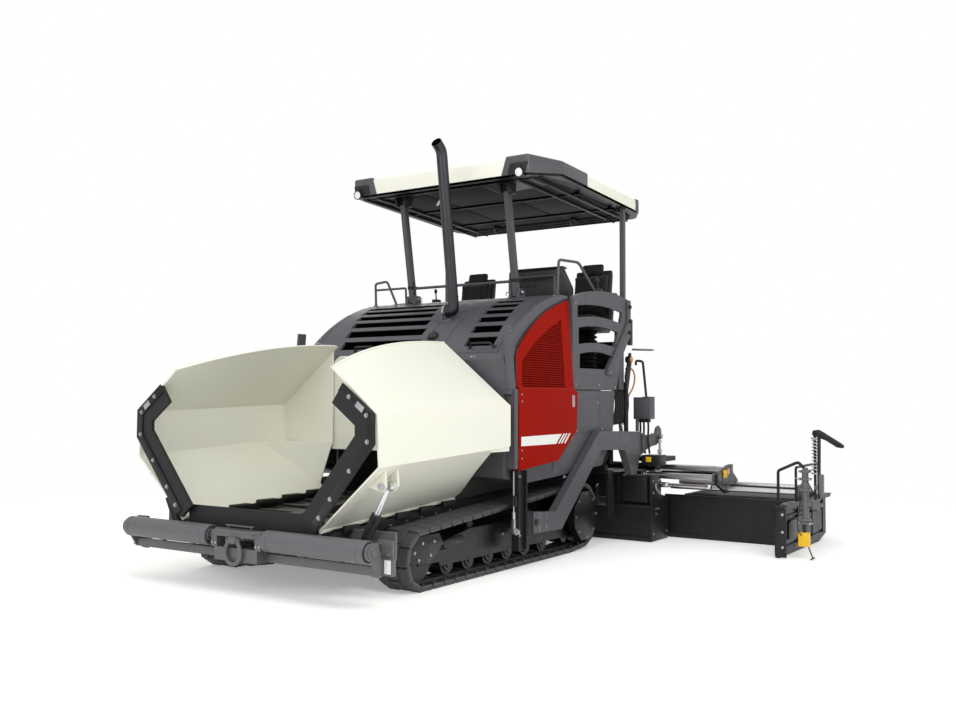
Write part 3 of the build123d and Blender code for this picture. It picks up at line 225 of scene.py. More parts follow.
def lens(name, rgb, rough=0.03):
    """Clear moulded polycarbonate with flutes 6 mm apart."""
    material, tree, place = new_material(name)
    flutes = add_node(tree, "ShaderNodeTexWave", {"Vector": place, "Scale": MM / 6 / WAVE_BANDS},
                      bands_direction="X").outputs["Fac"]
    bump = add_node(tree, "ShaderNodeBump", {"Strength": 0.4, "Distance": 0.001,
        "Height": flutes}).outputs["Normal"]
    shader = add_node(tree, "ShaderNodeBsdfPrincipled", {
        "Base Color": rgb,
        "Roughness": rough,
        "IOR": 1.58,
        "Specular IOR Level": 0.7,
        "Coat Weight": 0.5,
        "Normal": bump,
    }).outputs[0]
    add_node(tree, "ShaderNodeOutputMaterial", {"Surface": shader})
    return material


def tread_plate(name, rgb):
    """Steel walkway plate with raised grip marks on a 30 mm grid, black paint worn off their tops."""
    material, tree, place = new_material(name)
    cells = add_node(tree, "ShaderNodeTexVoronoi", {"Vector": place, "Scale": MM / 30, "Randomness": 0.0},
                     feature="F1", distance="MANHATTAN").outputs["Distance"]
    studs = add_node(tree, "ShaderNodeMapRange", {
        "Value": cells, "From Min": 0.25, "From Max": 0.45, "To Min": 1.0, "To Max": 0.0}).outputs["Result"]
    tint = add_node(tree, "ShaderNodeMix", {0: studs, 6: shade(rgb, 0.8), 7: shade(rgb, 2.2)},
                    data_type="RGBA").outputs[2]
    bump = add_node(tree, "ShaderNodeBump", {"Strength": 0.7, "Distance": 0.003,
        "Height": studs}).outputs["Normal"]
    shader = add_node(tree, "ShaderNodeBsdfPrincipled", {
        "Base Color": tint, "Roughness": 0.55, "IOR": 1.5, "Normal": bump}).outputs[0]
    add_node(tree, "ShaderNodeOutputMaterial", {"Surface": shader})
    return material


def make_finishes(paint):
    """Every finish by its short name, and the record's slot it belongs to."""
    steel, dark = linear("#B9B9BC"), linear("#6E6C6A")
    return {
        # baked polyester enamel: smooth and softly glossy, faint orange peel
        "cream": (coated("cream_polyester_enamel", paint.cream, 0.32, 9, 0.004, coat=0.12, dust=0.0,
            drift=0.006,
                         wear=0.008), "cream_paint"),
        # fine-texture powder coat: satin, a very fine pebble
        "grey": (coated("dark_grey_powder_coat", paint.body_grey, 0.44, 3, 0.05, dust=0.04, gloss=0.35),
            "grey_paint"),
        "mid": (coated("mid_grey_powder_coat", paint.roller_grey, 0.40, 3, 0.05, dust=0.05, gloss=0.45),
            "mid_grey_paint"),
        "black": (coated("black_powder_coat", paint.chassis_black, 0.40, 4, 0.06, dust=0.05, gloss=0.28),
            "black_paint"),
        # near-black matt sheet in the louvre slots and under the hood: painted shade of the hood's inside
        "blackout": (coated("louvre_blackout_foam", linear("#040404"), 0.90, 5, 0.05, dust=0.0, gloss=0.0),
            "black_rubber"),
        # a darker copy of the chassis black that paints shade on the parts it covers; slicker too, with a
        # tighter highlight than the powder coat
        "shaded_gloss_black": (coated("shaded_black_gloss_enamel", linear("#0C0C0D"), 0.32, 6, 0.03, dust=0.04, gloss=0.4),
            "black_paint"),
        # red enamel: flat and deep, with hardly any shine
        "red": (coated("red_polyester_enamel", paint.door_red, 0.36, 9, 0.02, coat=0.0, dust=0.0, drift=0.03,
            gloss=0.03), "red_paint"),
        # the door red at 55% for the panel behind the grille: painted shade under the slats
        "red_shaded": (coated("shaded_red_enamel", shade(paint.door_red, 0.55), 0.5, 9, 0.02, dust=0.0,
            gloss=0.02), "red_paint"),
        # signal enamel: bright and even
        "yellow": (coated("yellow_enamel", paint.signal_yellow, 0.35, 8, 0.04, dust=0.02), "mid_grey_paint"),
        # printed film: thin, flat, with a crisp edge
        "white": (coated("white_vinyl_film", linear("#EDEDEA"), 0.35, 8, 0.02, dust=0.0, edge=0.0005),
            "red_paint"),
        # moulded rubber: deep black and dull, greyed by the road on the track pads
        "rubber": (moulded("moulded_rubber", paint.rubber, 0.62, 3, 0.15), "black_rubber"),
        "pad": (moulded("track_pad_rubber", linear("#454446"), 0.68, 6, 0.35), "track_steel"),
        # injection-moulded plastic: fine leather grain
        "plastic": (moulded("injection_moulded_plastic", linear("#1B1B1D"), 0.45, 2, 0.08), "black_plastic"),
        # gelcoat: smooth and satin; the lining under it is matt foam
        "shell": (moulded("glass_fibre_gelcoat", linear("#4B4A4E"), 0.36, 6, 0.04), "roof_plastic"),
        "lining": (moulded("roof_lining_foam", linear("#1D1D1F"), 0.85, 5, 0.5), "roof_plastic"),
        # forged steel: dark scale, worn brighter where it runs
        "forged": (metal("forged_steel", dark, 0.52, 8, bump_mm=0.3), "track_steel"),
        # zinc plating: pale, slightly cloudy
        "zinc": (metal("zinc_plated_steel", steel, 0.34, 3), "worn_steel"),
        # hard chrome and ground tube: mirror-like, drawn lengthwise
        "chrome": (metal("hard_chrome_plate", linear("#D6D6DA"), 0.16, 2, spread=0.05, stretch=(0.05, 1, 1)),
            "chrome"),
        "tube": (metal("ground_steel_tube", linear("#CFCED3"), 0.30, 2, spread=0.02, bump_mm=0.01,
            stretch=(0.05, 1, 1)), "chrome"),
        # aluminised steel, dulled by heat; rolled plate and casting are rougher
        "exhaust": (metal("aluminised_steel", linear("#48474B"), 0.36, 5, stretch=(1, 1, 0.1)), "bare_steel"),
        "plate": (metal("rolled_steel_plate", linear("#5C5A59"), 0.46, 10, stretch=(1, 0.1, 1)),
            "worn_steel"),
        "cast": (metal("painted_iron_casting", linear("#3C3C40"), 0.6, 6, bump_mm=0.4), "cast_iron"),
        # polyester cloth: soft edge light from its sheen
        "cloth": (woven("woven_polyester", linear("#17171A")), "black_fabric"),
        # polycarbonate lenses and dark glass: clear highlights
        "lamp": (lens("clear_polycarbonate", linear("#E9EDF2")), "chrome"),
        "amber": (lens("amber_polycarbonate", linear("#D9730D"), 0.15), "black_plastic"),
        "glass": (lens("dark_screen_glass", linear("#0B0D10"), 0.06), "black_plastic"),
        # braided hose cover
        "braid": (moulded("orange_braided_hose", linear("#B98546"), 0.5, 3, 0.4), "black_rubber"),
        # studded plate: worn grip marks catch the light
        "tread": (tread_plate("studded_walkway_plate", paint.chassis_black), "black_paint"),
    }


FINISH = {}
# finish of each CAD node; a name that ends in an underscore stands for its left and right nodes
CAD_NODES = {
    "black": "main_frame platform hand_rails guide_rails auger_frame wing_barrel_ tow_slides "
        "lift_barrel_ main_screed screed_guides extension_ end_gate_",
    "plate": "conveyor auger_",
    "rubber": "front_apron wing_seal_",
    "mid": "side_brackets roller_beam push_roller_ tow_ring sensor_",
    "forged": "track_",
    # track frames and carriages in the darker black that paints shade
    "shaded_gloss_black": "track_frames carriage_",
    "grey": "hood lower_body side_guards hood_hatch_ front_posts rear_posts tow_arms "
        "control_cabinets",
    "cast": "engine_block",
    "cream": "hopper_wing_",
    "chrome": "wing_rod_ lift_rod_",
    "red": "side_door_",
    "plastic": "console seat_frame_",
    "cloth": "seat_cushion_",
    "shell": "roof",
    "exhaust": "exhaust_pipe",
    "tread": "walkway",
}
NODE_FINISH = {
    name + side: finish
    for finish, names in CAD_NODES.items()
    for name in names.split()
    for side in (("left", "right") if name.endswith("_") else ("",))
}


# ---------------------------------------------------------------- mesh tools
def turned(about, axis, angle):
    """A turn by degrees about a line through a point."""
    point = Vector(about)
    return Matrix.Translation(point) @ Matrix.Rotation(radians(angle), 4, axis) @ Matrix.Translation(-point)


def add_block(bm, x, y, z, bevel=0.004, segments=2, place=None):
    """A box between two values of x, of y and of z, with eased edges."""
    centre = Vector(((x[0] + x[1]) / 2, (y[0] + y[1]) / 2, (z[0] + z[1]) / 2))
    size = Matrix.Diagonal((x[1] - x[0], y[1] - y[0], z[1] - z[0], 1))
    corners = bmesh.ops.create_cube(bm, size=1,
        matrix=(place or Matrix()) @ Matrix.Translation(centre) @ size)["verts"]
    if bevel:
        edges = list({e for v in corners for e in v.link_edges})
        bmesh.ops.bevel(bm, geom=edges, offset=bevel, segments=segments, profile=0.5, affect="EDGES",
            material=-1)


def add_rod(bm, start, end, radius, radius_end=None, segments=24, bevel=0.0):
    """A round bar or cone between two points, its rims eased if asked."""
    start, end = Vector(start), Vector(end)
    along = end - start
    place = Matrix.Translation((start + end) / 2) @ along.to_track_quat("Z", "Y").to_matrix().to_4x4()
    radius_end = radius if radius_end is None else radius_end
    verts = bmesh.ops.create_cone(bm, cap_ends=True, segments=segments, radius1=radius, radius2=radius_end,
        depth=along.length, matrix=place)["verts"]
    if bevel:
        caps = {f for v in verts for f in v.link_faces if len(f.verts) == segments}
        rims = list({e for f in caps for e in f.edges})
        bmesh.ops.bevel(bm, geom=rims, offset=bevel, segments=2, profile=0.5, affect="EDGES", material=-1)


def add_outline(bm, points, lift, axis, depth, bevel=0.0, segments=2):
    """A flat outline pushed along an axis: lift turns each (u, v) into a point."""
    verts = [bm.verts.new(lift(u, v)) for u, v in points]
    face = bm.faces.new(verts)
    pushed = bmesh.ops.extrude_face_region(bm, geom=[face])["geom"]
    moved = [g for g in pushed if isinstance(g, bmesh.types.BMVert)]
    bmesh.ops.translate(bm, vec=Vector(axis) * depth, verts=moved)
    faces = list({f for v in verts + moved for f in v.link_faces})
    bmesh.ops.recalc_face_normals(bm, faces=faces)
    if bevel:
        edges = list({e for f in faces for e in f.edges})
        bmesh.ops.bevel(bm, geom=edges, offset=bevel, segments=segments, profile=0.5, affect="EDGES",
            material=-1)


def side_outline(bm, points, x, bevel=0.0):
    """A (y, z) outline pushed between two values of x."""
    add_outline(bm, points, lambda u, v: (x[0], u, v), (1, 0, 0), x[1] - x[0], bevel)


def front_outline(bm, points, y, bevel=0.0):
    """An (x, z) outline pushed between two values of y."""
    add_outline(bm, points, lambda u, v: (u, y[0], v), (0, 1, 0), y[1] - y[0], bevel)


def add_bolt(bm, at, axis, radius=None, washer=True):
    """A hexagon head, its point facing along the axis, on a round washer."""
    radius = radius or bpy.context.scene.paver_sizes.bolt_radius
    at, axis = Vector(at), Vector(axis).normalized()
    if washer:
        add_rod(bm, at - axis * 0.002, at + axis * radius * 0.25, radius * 1.25, segments=16)
    add_rod(bm, at, at + axis * radius * 0.9, radius, radius * 0.93, segments=6)


def rail_route(points, bend):
    """Control points for a rail of straight runs with eased corners."""
    points = [Vector(p) for p in points]
    route = [points[0]]
    for before, corner, after in zip(points, points[1:], points[2:]):
        route += [corner + (before - corner).normalized() * bend, corner,
            corner + (after - corner).normalized() * bend]
    return route + [points[-1]]


def add_turning(bm, profile, origin, axis, steps=24):
    """A turned shape: (distance, radius) pairs along an axis from an origin."""
    axis, origin = Vector(axis).normalized(), Vector(origin)
    side = axis.orthogonal().normalized()
    turned_bm = bmesh.new()
    verts = [turned_bm.verts.new(origin + axis * d + side * r) for d, r in profile]
    edges = [turned_bm.edges.new(ends) for ends in zip(verts, verts[1:])]
    bmesh.ops.spin(turned_bm, geom=verts + edges, cent=origin, axis=axis, angle=2 * pi, steps=steps,
        use_merge=True)
    bmesh.ops.remove_doubles(turned_bm, verts=turned_bm.verts, dist=1e-5)
    bmesh.ops.recalc_face_normals(turned_bm, faces=turned_bm.faces)
    join(bm, turned_bm)


def add_hose(bm, points, radius, resolution=3, steps=8):
    """A round tube along a smooth NURBS route."""
    curve = bpy.data.curves.new("route", "CURVE")
    curve.dimensions = "3D"
    spline = curve.splines.new("NURBS")
    spline.points.add(len(points) - 1)
    for control, point in zip(spline.points, points):
        control.co = (*point, 1)
    spline.order_u = 3
    spline.use_endpoint_u = True
    spline.resolution_u = steps
    curve.bevel_depth = radius
    curve.bevel_resolution = resolution
    holder = bpy.data.objects.new("route", curve)
    tube = bpy.data.meshes.new_from_object(holder)
    hose = bmesh.new()
    hose.from_mesh(tube)
    bmesh.ops.holes_fill(hose, edges=[e for e in hose.edges if e.is_boundary])
    join(bm, hose)
    bpy.data.objects.remove(holder)
    bpy.data.curves.remove(curve)
    bpy.data.meshes.remove(tube)


def add_rail(bm, points, bend, radius):
    """A bent rail of round tube."""
    add_hose(bm, rail_route(points, bend), radius)


def mirrored(bm):
    """A copy of the mesh on the machine's other side."""
    other = bm.copy()
    bmesh.ops.scale(other, vec=(-1, 1, 1), verts=other.verts)
    bmesh.ops.reverse_faces(other, faces=other.faces)
    return other


def join(bm, other):
    """Adds another bmesh to this one."""
    passing = bpy.data.meshes.new("passing")
    other.to_mesh(passing)
    other.free()
    bm.from_mesh(passing)
    bpy.data.meshes.remove(passing)


def piece(name, bm, finish, body, replaces=(), sharp=40):
    """Makes a finished piece out of a bmesh and rides it on a body."""
    material, slot = FINISH[finish]
    bmesh.ops.recalc_face_normals(bm, faces=bm.faces)
    mesh = bpy.data.meshes.new(name)
    bm.to_mesh(mesh)
    bm.free()
    mesh.materials.append(material)
    mesh.shade_smooth()
    mesh.set_sharp_from_angle(angle=radians(sharp))
    made = bpy.data.objects.new(name, mesh)
    bpy.context.collection.objects.link(made)
    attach(made, body)
    if replaces:
        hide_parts(*replaces)
    return made


def both_sides(name, bm, finish, body, replaces=(), sharp=40):
    """One piece with a left-hand half and its mirror image."""
    join(bm, mirrored(bm))
    return piece(name, bm, finish, body, replaces, sharp)


def pair(name, bm, finish, body, replaces=(), sharp=40):
    """Two pieces, one on the left-hand body and one on the right-hand body."""
    other = mirrored(bm)
    for (side, _), half in zip(SIDES, (bm, other)):
        piece(f"{name}_{side}", half, finish, f"{body}_{side}", [f"{n}_{side}" for n in replaces], sharp)


# ---------------------------------------------------------------- operators
class PAVER_OT_finishes(Operator):
    """Makes the finishes and gives each CAD node its own"""
    bl_idname = "paver.finishes"
    bl_label = "Finishes"

    def execute(self, context):
        FINISH.update(make_finishes(context.scene.paver_paint))
        for name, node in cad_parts.items():
            material, _ = FINISH[NODE_FINISH[name]]
            node.data.materials.clear()
            node.data.materials.append(material)
        return {"FINISHED"}


class PAVER_OT_stage(Operator):
    """Lays the studio floor, hangs the lamps and sets the camera"""
    bl_idname = "paver.stage"
    bl_label = "Stage"

    def execute(self, context):
        scene = context.scene
        scene.view_settings.view_transform = "Standard"
        self.floor(context.scene.paver_paint)
        self.light(scene)
        self.camera(scene)
        return {"FINISHED"}

    def floor(self, paint):
        """A pale floor that fades into the white backdrop."""
        bm = bmesh.new()
        bmesh.ops.create_grid(bm, x_segments=1, y_segments=1, size=60)
        bmesh.ops.translate(bm, vec=(0, 0, -0.003), verts=bm.verts)
        mesh = bpy.data.meshes.new("studio_floor")
        bm.to_mesh(mesh)
        bm.free()
        material, tree, place = new_material("painted_studio_floor")
        # fine roller stipple; the part of the light that the camera alone sees lifts it to white
        stipple = add_node(tree, "ShaderNodeTexNoise", {"Vector": place, "Scale": MM / 12,
            "Detail": 2}).outputs["Fac"]
        tint = add_node(tree, "ShaderNodeMix", {0: stipple, 6: shade(paint.floor, 0.98), 7: paint.floor},
                        data_type="RGBA").outputs[2]
        matt = add_node(tree, "ShaderNodeBsdfDiffuse", {"Color": tint}).outputs[0]
        path = add_node(tree, "ShaderNodeLightPath")
        seen = add_node(tree, "ShaderNodeMath", {0: path.outputs["Is Camera Ray"],
            1: path.outputs["Is Glossy Ray"]}, operation="MAXIMUM").outputs[0]
        lift = add_node(tree, "ShaderNodeMath", {0: seen, 1: 0.30}, operation="MULTIPLY").outputs[0]
        glow = add_node(tree, "ShaderNodeEmission", {"Color": (1, 1, 1, 1), "Strength": lift}).outputs[0]
        near = add_node(tree, "ShaderNodeAddShader", {0: matt, 1: glow}).outputs[0]
        # away from the machine the floor turns into the white backdrop
        reach = add_node(tree, "ShaderNodeVectorMath", {0: place}, operation="LENGTH").outputs["Value"]
        away = add_node(tree, "ShaderNodeMapRange", {"Value": reach, "From Min": 4.2, "From Max": 8.0},
            interpolation_type="SMOOTHSTEP").outputs["Result"]
        away = add_node(tree, "ShaderNodeMath", {0: away, 1: seen}, operation="MULTIPLY").outputs[0]
        far = add_node(tree, "ShaderNodeEmission", {"Color": (1, 1, 1, 1), "Strength": 1.0}).outputs[0]
        surface = add_node(tree, "ShaderNodeMixShader", {0: away, 1: near, 2: far}).outputs[0]
        add_node(tree, "ShaderNodeOutputMaterial", {"Surface": surface})
        mesh.materials.append(material)
        floor = bpy.data.objects.new("studio_floor", mesh)
        bpy.context.collection.objects.link(floor)

    def light(self, scene):
        """An even white world and five soft lamps."""
        world = bpy.data.worlds.new("studio")
        scene.world = world
        world.use_nodes = True
        tree = world.node_tree
        tree.nodes.clear()
        path = add_node(tree, "ShaderNodeLightPath")
        seen = add_node(tree, "ShaderNodeMath", {0: path.outputs["Is Camera Ray"],
            1: path.outputs["Is Transmission Ray"]}, operation="MAXIMUM").outputs[0]
        strength = add_node(tree, "ShaderNodeMapRange",
            {"Value": seen, "To Min": 0.74, "To Max": 1.0}).outputs["Result"]
        sky = add_node(tree, "ShaderNodeBackground", {"Color": (1, 1, 1, 1), "Strength": strength}).outputs[0]
        add_node(tree, "ShaderNodeOutputWorld", {"Surface": sky})
        # name, place, target, width, height, watts
        lamps = (
            ("overhead_bank", (0.5, -2.0, 9.0), (0, 0, 1.0), 9.0, 9.0, 140),
            ("front_bank", (1.0, -12.0, 5.0), (0, -1.0, 1.5), 7.0, 4.0, 230),
            ("side_bank", (11.0, 0.0, 5.0), (0, 0, 1.2), 6.0, 4.0, 50),
            ("hopper_fill", (6.0, -3.5, 6.0), (-0.6, -2.0, 1.2), 3.0, 3.0, 150),
            ("rear_bank", (-7.0, 9.0, 6.0), (0, 0, 1.5), 7.0, 5.0, 220),
        )
        for name, place, target, width, height, watts in lamps:
            data = bpy.data.lights.new(name, "AREA")
            data.shape = "RECTANGLE"
            data.size, data.size_y, data.energy = width, height, watts
            lamp = bpy.data.objects.new(name, data)
            lamp.location = place
            lamp.rotation_euler = (Vector(target) - Vector(place)).to_track_quat("-Z", "Y").to_euler()
            bpy.context.collection.objects.link(lamp)

    def camera(self, scene):
        """Eye height, from the machine's front left."""
        data = bpy.data.cameras.new("camera")
        data.lens, data.sensor_width = 37.59, 36.0
        data.clip_end = 200
        camera = bpy.data.objects.new("camera", data)
        yaw, pitch, roll = radians(33.768), radians(2.280), radians(0.127)
        forward = Vector((-sin(yaw) * cos(pitch), cos(yaw) * cos(pitch), sin(pitch)))
        level = Vector((cos(yaw), sin(yaw), 0))
        upright = level.cross(forward)
        right = level * cos(roll) + upright * sin(roll)
        up = upright * cos(roll) - level * sin(roll)
        camera.matrix_world = Matrix.Translation((5.724, -8.318, 1.466)) @ Matrix((right, up,
            -forward)).transposed().to_4x4()
        bpy.context.collection.objects.link(camera)
        scene.camera = camera


# ---------------------------------------------------------------- roof
PLAN = ((1.04, -0.5), (1.2, -0.13), (1.2, 1.56), (1.06, 1.8))     # x, y of the roof's left half


def roof_top(y):
    """Height of the roof's upper face, which falls to the rear."""
    return 3.681 - 0.0467 * y


def roof_foot(y):
    """Height of the roof's lower edge."""
    return 3.546 + (y + 0.5) * 0.1 if y < -0.13 else 3.583 - 0.055 * (y + 0.13)


def full_plan(grow=0.0):
    """The roof's outline with its sides moved out."""
    half = [(x + grow, y + (grow if y > 0.5 else -grow)) for x, y in PLAN]
    return half + [(-x, y) for x, y in reversed(half)]


def add_cap(bm, plan, foot, top, bevel):
    """A plan outline raised between two heights that depend on y."""
    low = [bm.verts.new((x, y, foot(y))) for x, y in plan]
    face = bm.faces.new(low)
    pushed = [g for g in bmesh.ops.extrude_face_region(bm, geom=[face])["geom"] if isinstance(g,
        bmesh.types.BMVert)]
    for v in pushed:
        v.co.z = top(v.co.y)
    faces = list({f for v in low + pushed for f in v.link_faces})
    bmesh.ops.recalc_face_normals(bm, faces=faces)
    if bevel:
        edges = list({e for v in pushed for e in v.link_edges})
        bmesh.ops.bevel(bm, geom=edges, offset=bevel, segments=3, profile=0.5, affect="EDGES", material=-1)


def add_lamp(housing, glass, at, facing, radius):
    """A round work lamp: cup, rim, stirrup and fluted glass."""
    at, facing = Vector(at), Vector(facing).normalized()
    add_turning(housing, [(-0.055, 0), (-0.055, radius * 0.5), (-0.03, radius * 0.9), (0, radius),
        (0.012, radius), (0.012, radius * 0.9), (0.004, radius * 0.88), (0.004, 0)], at, facing)
    add_turning(glass, [(0.0045, 0), (0.0045, radius * 0.86), (0.010, radius * 0.82), (0.014, radius * 0.4),
        (0.015, 0)], at, facing)
    add_block(housing, (at.x - 0.008, at.x + 0.008), (at.y + 0.01, at.y + 0.03),
        (at.z, at.z + radius + 0.03), 0.002)


class PAVER_OT_roof(Operator):
    """Builds the weather roof: shell, corner caps, lining, work lamps and awning bars"""
    bl_idname = "paver.roof"
    bl_label = "Roof"

    def execute(self, context):
        bm = bmesh.new()
        add_cap(bm, full_plan(-0.004), roof_foot, roof_top, 0.022)
        crown = max(bm.faces, key=lambda f: f.calc_center_median().z * (f.calc_area() > 1))
        bmesh.ops.inset_region(bm, faces=[crown], thickness=0.16, depth=0.018)
        sole = max((f for f in bm.faces if f.normal.z < -0.9), key=lambda f: f.calc_area())
        bmesh.ops.inset_region(bm, faces=[sole], thickness=0.03)
        bmesh.ops.inset_region(bm, faces=[sole], thickness=0.002, depth=-0.06)
        piece("roof_shell", bm, "cream", "roof", ["roof"])

        bm = bmesh.new()
        add_cap(bm, [(0.745, -0.506), (1.043, -0.506), (1.206, -0.13), (1.206, 0.386), (1.09, 0.386),
            (1.09, -0.06), (0.94, -0.34), (0.79, -0.34)],
                lambda y: roof_foot(y) - 0.004, lambda y: roof_top(y) + 0.018, 0.02)
        for v in bm.verts:
            if v.co.x < 0.85 and v.co.z > 3.64:
                v.co.x += 0.05
        both_sides("roof_corner_caps", bm, "shell", "roof")
        bm = bmesh.new()
        rear = [(1.206, 1.5), (1.206, 1.562), (1.063, 1.806), (-1.063, 1.806), (-1.206, 1.562),
            (-1.206, 1.5), (-1.1, 1.5), (-1.0, 1.7), (1.0, 1.7), (1.1, 1.5)]
        add_cap(bm, rear, lambda y: roof_foot(y) - 0.012, lambda y: roof_top(y) + 0.006, 0.014)
        piece("roof_rear_cap", bm, "shell", "roof")

        bm = bmesh.new()
        add_cap(bm, full_plan(-0.012), lambda y: roof_foot(y) - 0.022, lambda y: roof_foot(y) + 0.004, 0)
        sole = max((f for f in bm.faces if f.normal.z < -0.9), key=lambda f: f.calc_area())
        bmesh.ops.inset_region(bm, faces=[sole], thickness=0.07)
        bmesh.ops.inset_region(bm, faces=[sole], thickness=0.002, depth=-0.018)
        for x in (0.84, 1.0):
            add_block(bm, (x - 0.012, x + 0.012), (-0.38, 1.7), (3.5, 3.53), 0.004, place=shear_roof())
        for y in (-0.32, 0.42, 1.15):
            add_block(bm, (-1.08, 1.08), (y, y + 0.04), (3.515, 3.54), 0.004, place=shear_roof())
        both_sides("roof_gasket_frame", bm, "plastic", "roof")

        bm = bmesh.new()
        for y0, y1 in ((-0.27, 0.41), (0.47, 1.14), (1.2, 1.66)):
            for x0, x1 in ((-1.05, -0.36), (-0.345, 0.345), (0.36, 1.05)):
                add_block(bm, (x0, x1), (y0, y1), (3.53, 3.56), 0.012, 3, place=shear_roof())
        piece("roof_lining", bm, "lining", "roof")

        # rolled weather curtain on three bars under the rear edge, and the lifting strut
        bm = bmesh.new()
        for k in range(3):
            y, z = 1.46 + 0.07 * k, roof_foot(1.5) - 0.045 - 0.012 * k
            add_rail(bm, [(-1.02, y, z + 0.05), (-0.97, y, z), (0.97, y, z), (1.02, y, z + 0.05)], 0.05,
                0.017)
        piece("weather_curtain", bm, "rubber", "roof")
        bm = bmesh.new()
        add_rod(bm, (0.02, -0.36, 3.525), (-0.28, -0.05, 3.505), 0.009, segments=12)
        add_rod(bm, (-0.28, -0.05, 3.505), (-0.42, 0.1, 3.497), 0.014, segments=12)
        piece("roof_strut", bm, "zinc", "roof")
        # cheeks that take the heads of the posts
        bm = bmesh.new()
        for x in (0.570, 0.670):
            add_block(bm, (x, x + 0.024), (-0.268, -0.132), (3.442, 3.56), 0.004)
        add_rod(bm, (0.566, -0.2, 3.46), (0.600, -0.2, 3.46), 0.024, segments=24, bevel=0.003)
        add_rod(bm, (0.664, -0.2, 3.46), (0.698, -0.2, 3.46), 0.024, segments=24, bevel=0.003)
        add_block(bm, (1.08, 1.104), (1.25, 1.35), (3.442, 3.53), 0.004)
        both_sides("roof_head_cheeks", bm, "plastic", "roof")

        # lamp recesses as black patches proud of the roof that paint their shade, front lamps and rear lamps
        recess_shade, housing, glass = bmesh.new(), bmesh.new(), bmesh.new()
        add_block(recess_shade, (0.835, 1.035), (-0.511, -0.47), (3.542, 3.652), 0.012)
        for v in recess_shade.verts:
            v.co.x += (v.co.z - 3.6) * 0.25
        both_sides("lamp_recess_shades", recess_shade, "rubber", "roof")
        add_lamp(housing, glass, (0.97, -0.535, 3.548), (0, -1, -0.18), 0.046)
        add_lamp(housing, glass, (0.5, 1.4, 3.42), (0, 1, -0.6), 0.042)
        both_sides("lamp_housings", housing, "plastic", "roof")
        both_sides("lamp_glasses", glass, "lamp", "roof")
        return {"FINISHED"}


def shear_roof():
    """Tilts flat pieces to the fall of the roof."""
    tilt = Matrix.Identity(4)
    tilt[2][1] = -0.05
    return tilt


# ---------------------------------------------------------------- tracks
WHEELS = ((-2.18, 0.235, 0.235), (0.12, 0.12, 0.12), (0.35, 0.335, 0.315))     # y, z, radius
TRACK_MIDDLE = 0.9975


def belt_stations(wheels, count):
    """Evenly spaced (y, z, outward angle) round a belt that wraps some wheels, and their spacing."""
    angles, runs = [], []
    ring = list(zip(wheels, wheels[1:] + wheels[:1]))
    for (y0, z0, r0), (y1, z1, r1) in ring:
        angles.append(atan2(z1 - z0, y1 - y0) - acos((r0 - r1) / hypot(y1 - y0, z1 - z0)))
    for i, ((y0, z0, r0), (y1, z1, r1)) in enumerate(ring):
        sweep = (angles[i] - angles[i - 1]) % (2 * pi)
        runs.append((sweep * r0, y0, z0, r0, angles[i - 1], None))
        a = angles[i]
        start = (y0 + r0 * cos(a), z0 + r0 * sin(a))
        end = (y1 + r1 * cos(a), z1 + r1 * sin(a))
        runs.append((hypot(end[0] - start[0], end[1] - start[1]), *start, None, a, end))
    total = sum(run[0] for run in runs)
    stations = []
    for k in range(count):
        left = total * k / count
        for length, y, z, r, a, end in runs:
            if left <= length:
                break
            left -= length
        if end is None:
            turn = a + left / r
            stations.append((y + r * cos(turn), z + r * sin(turn), turn))
        else:
            stations.append((y + (end[0] - y) * left / length, z + (end[1] - z) * left / length, a))
    return stations, total / count


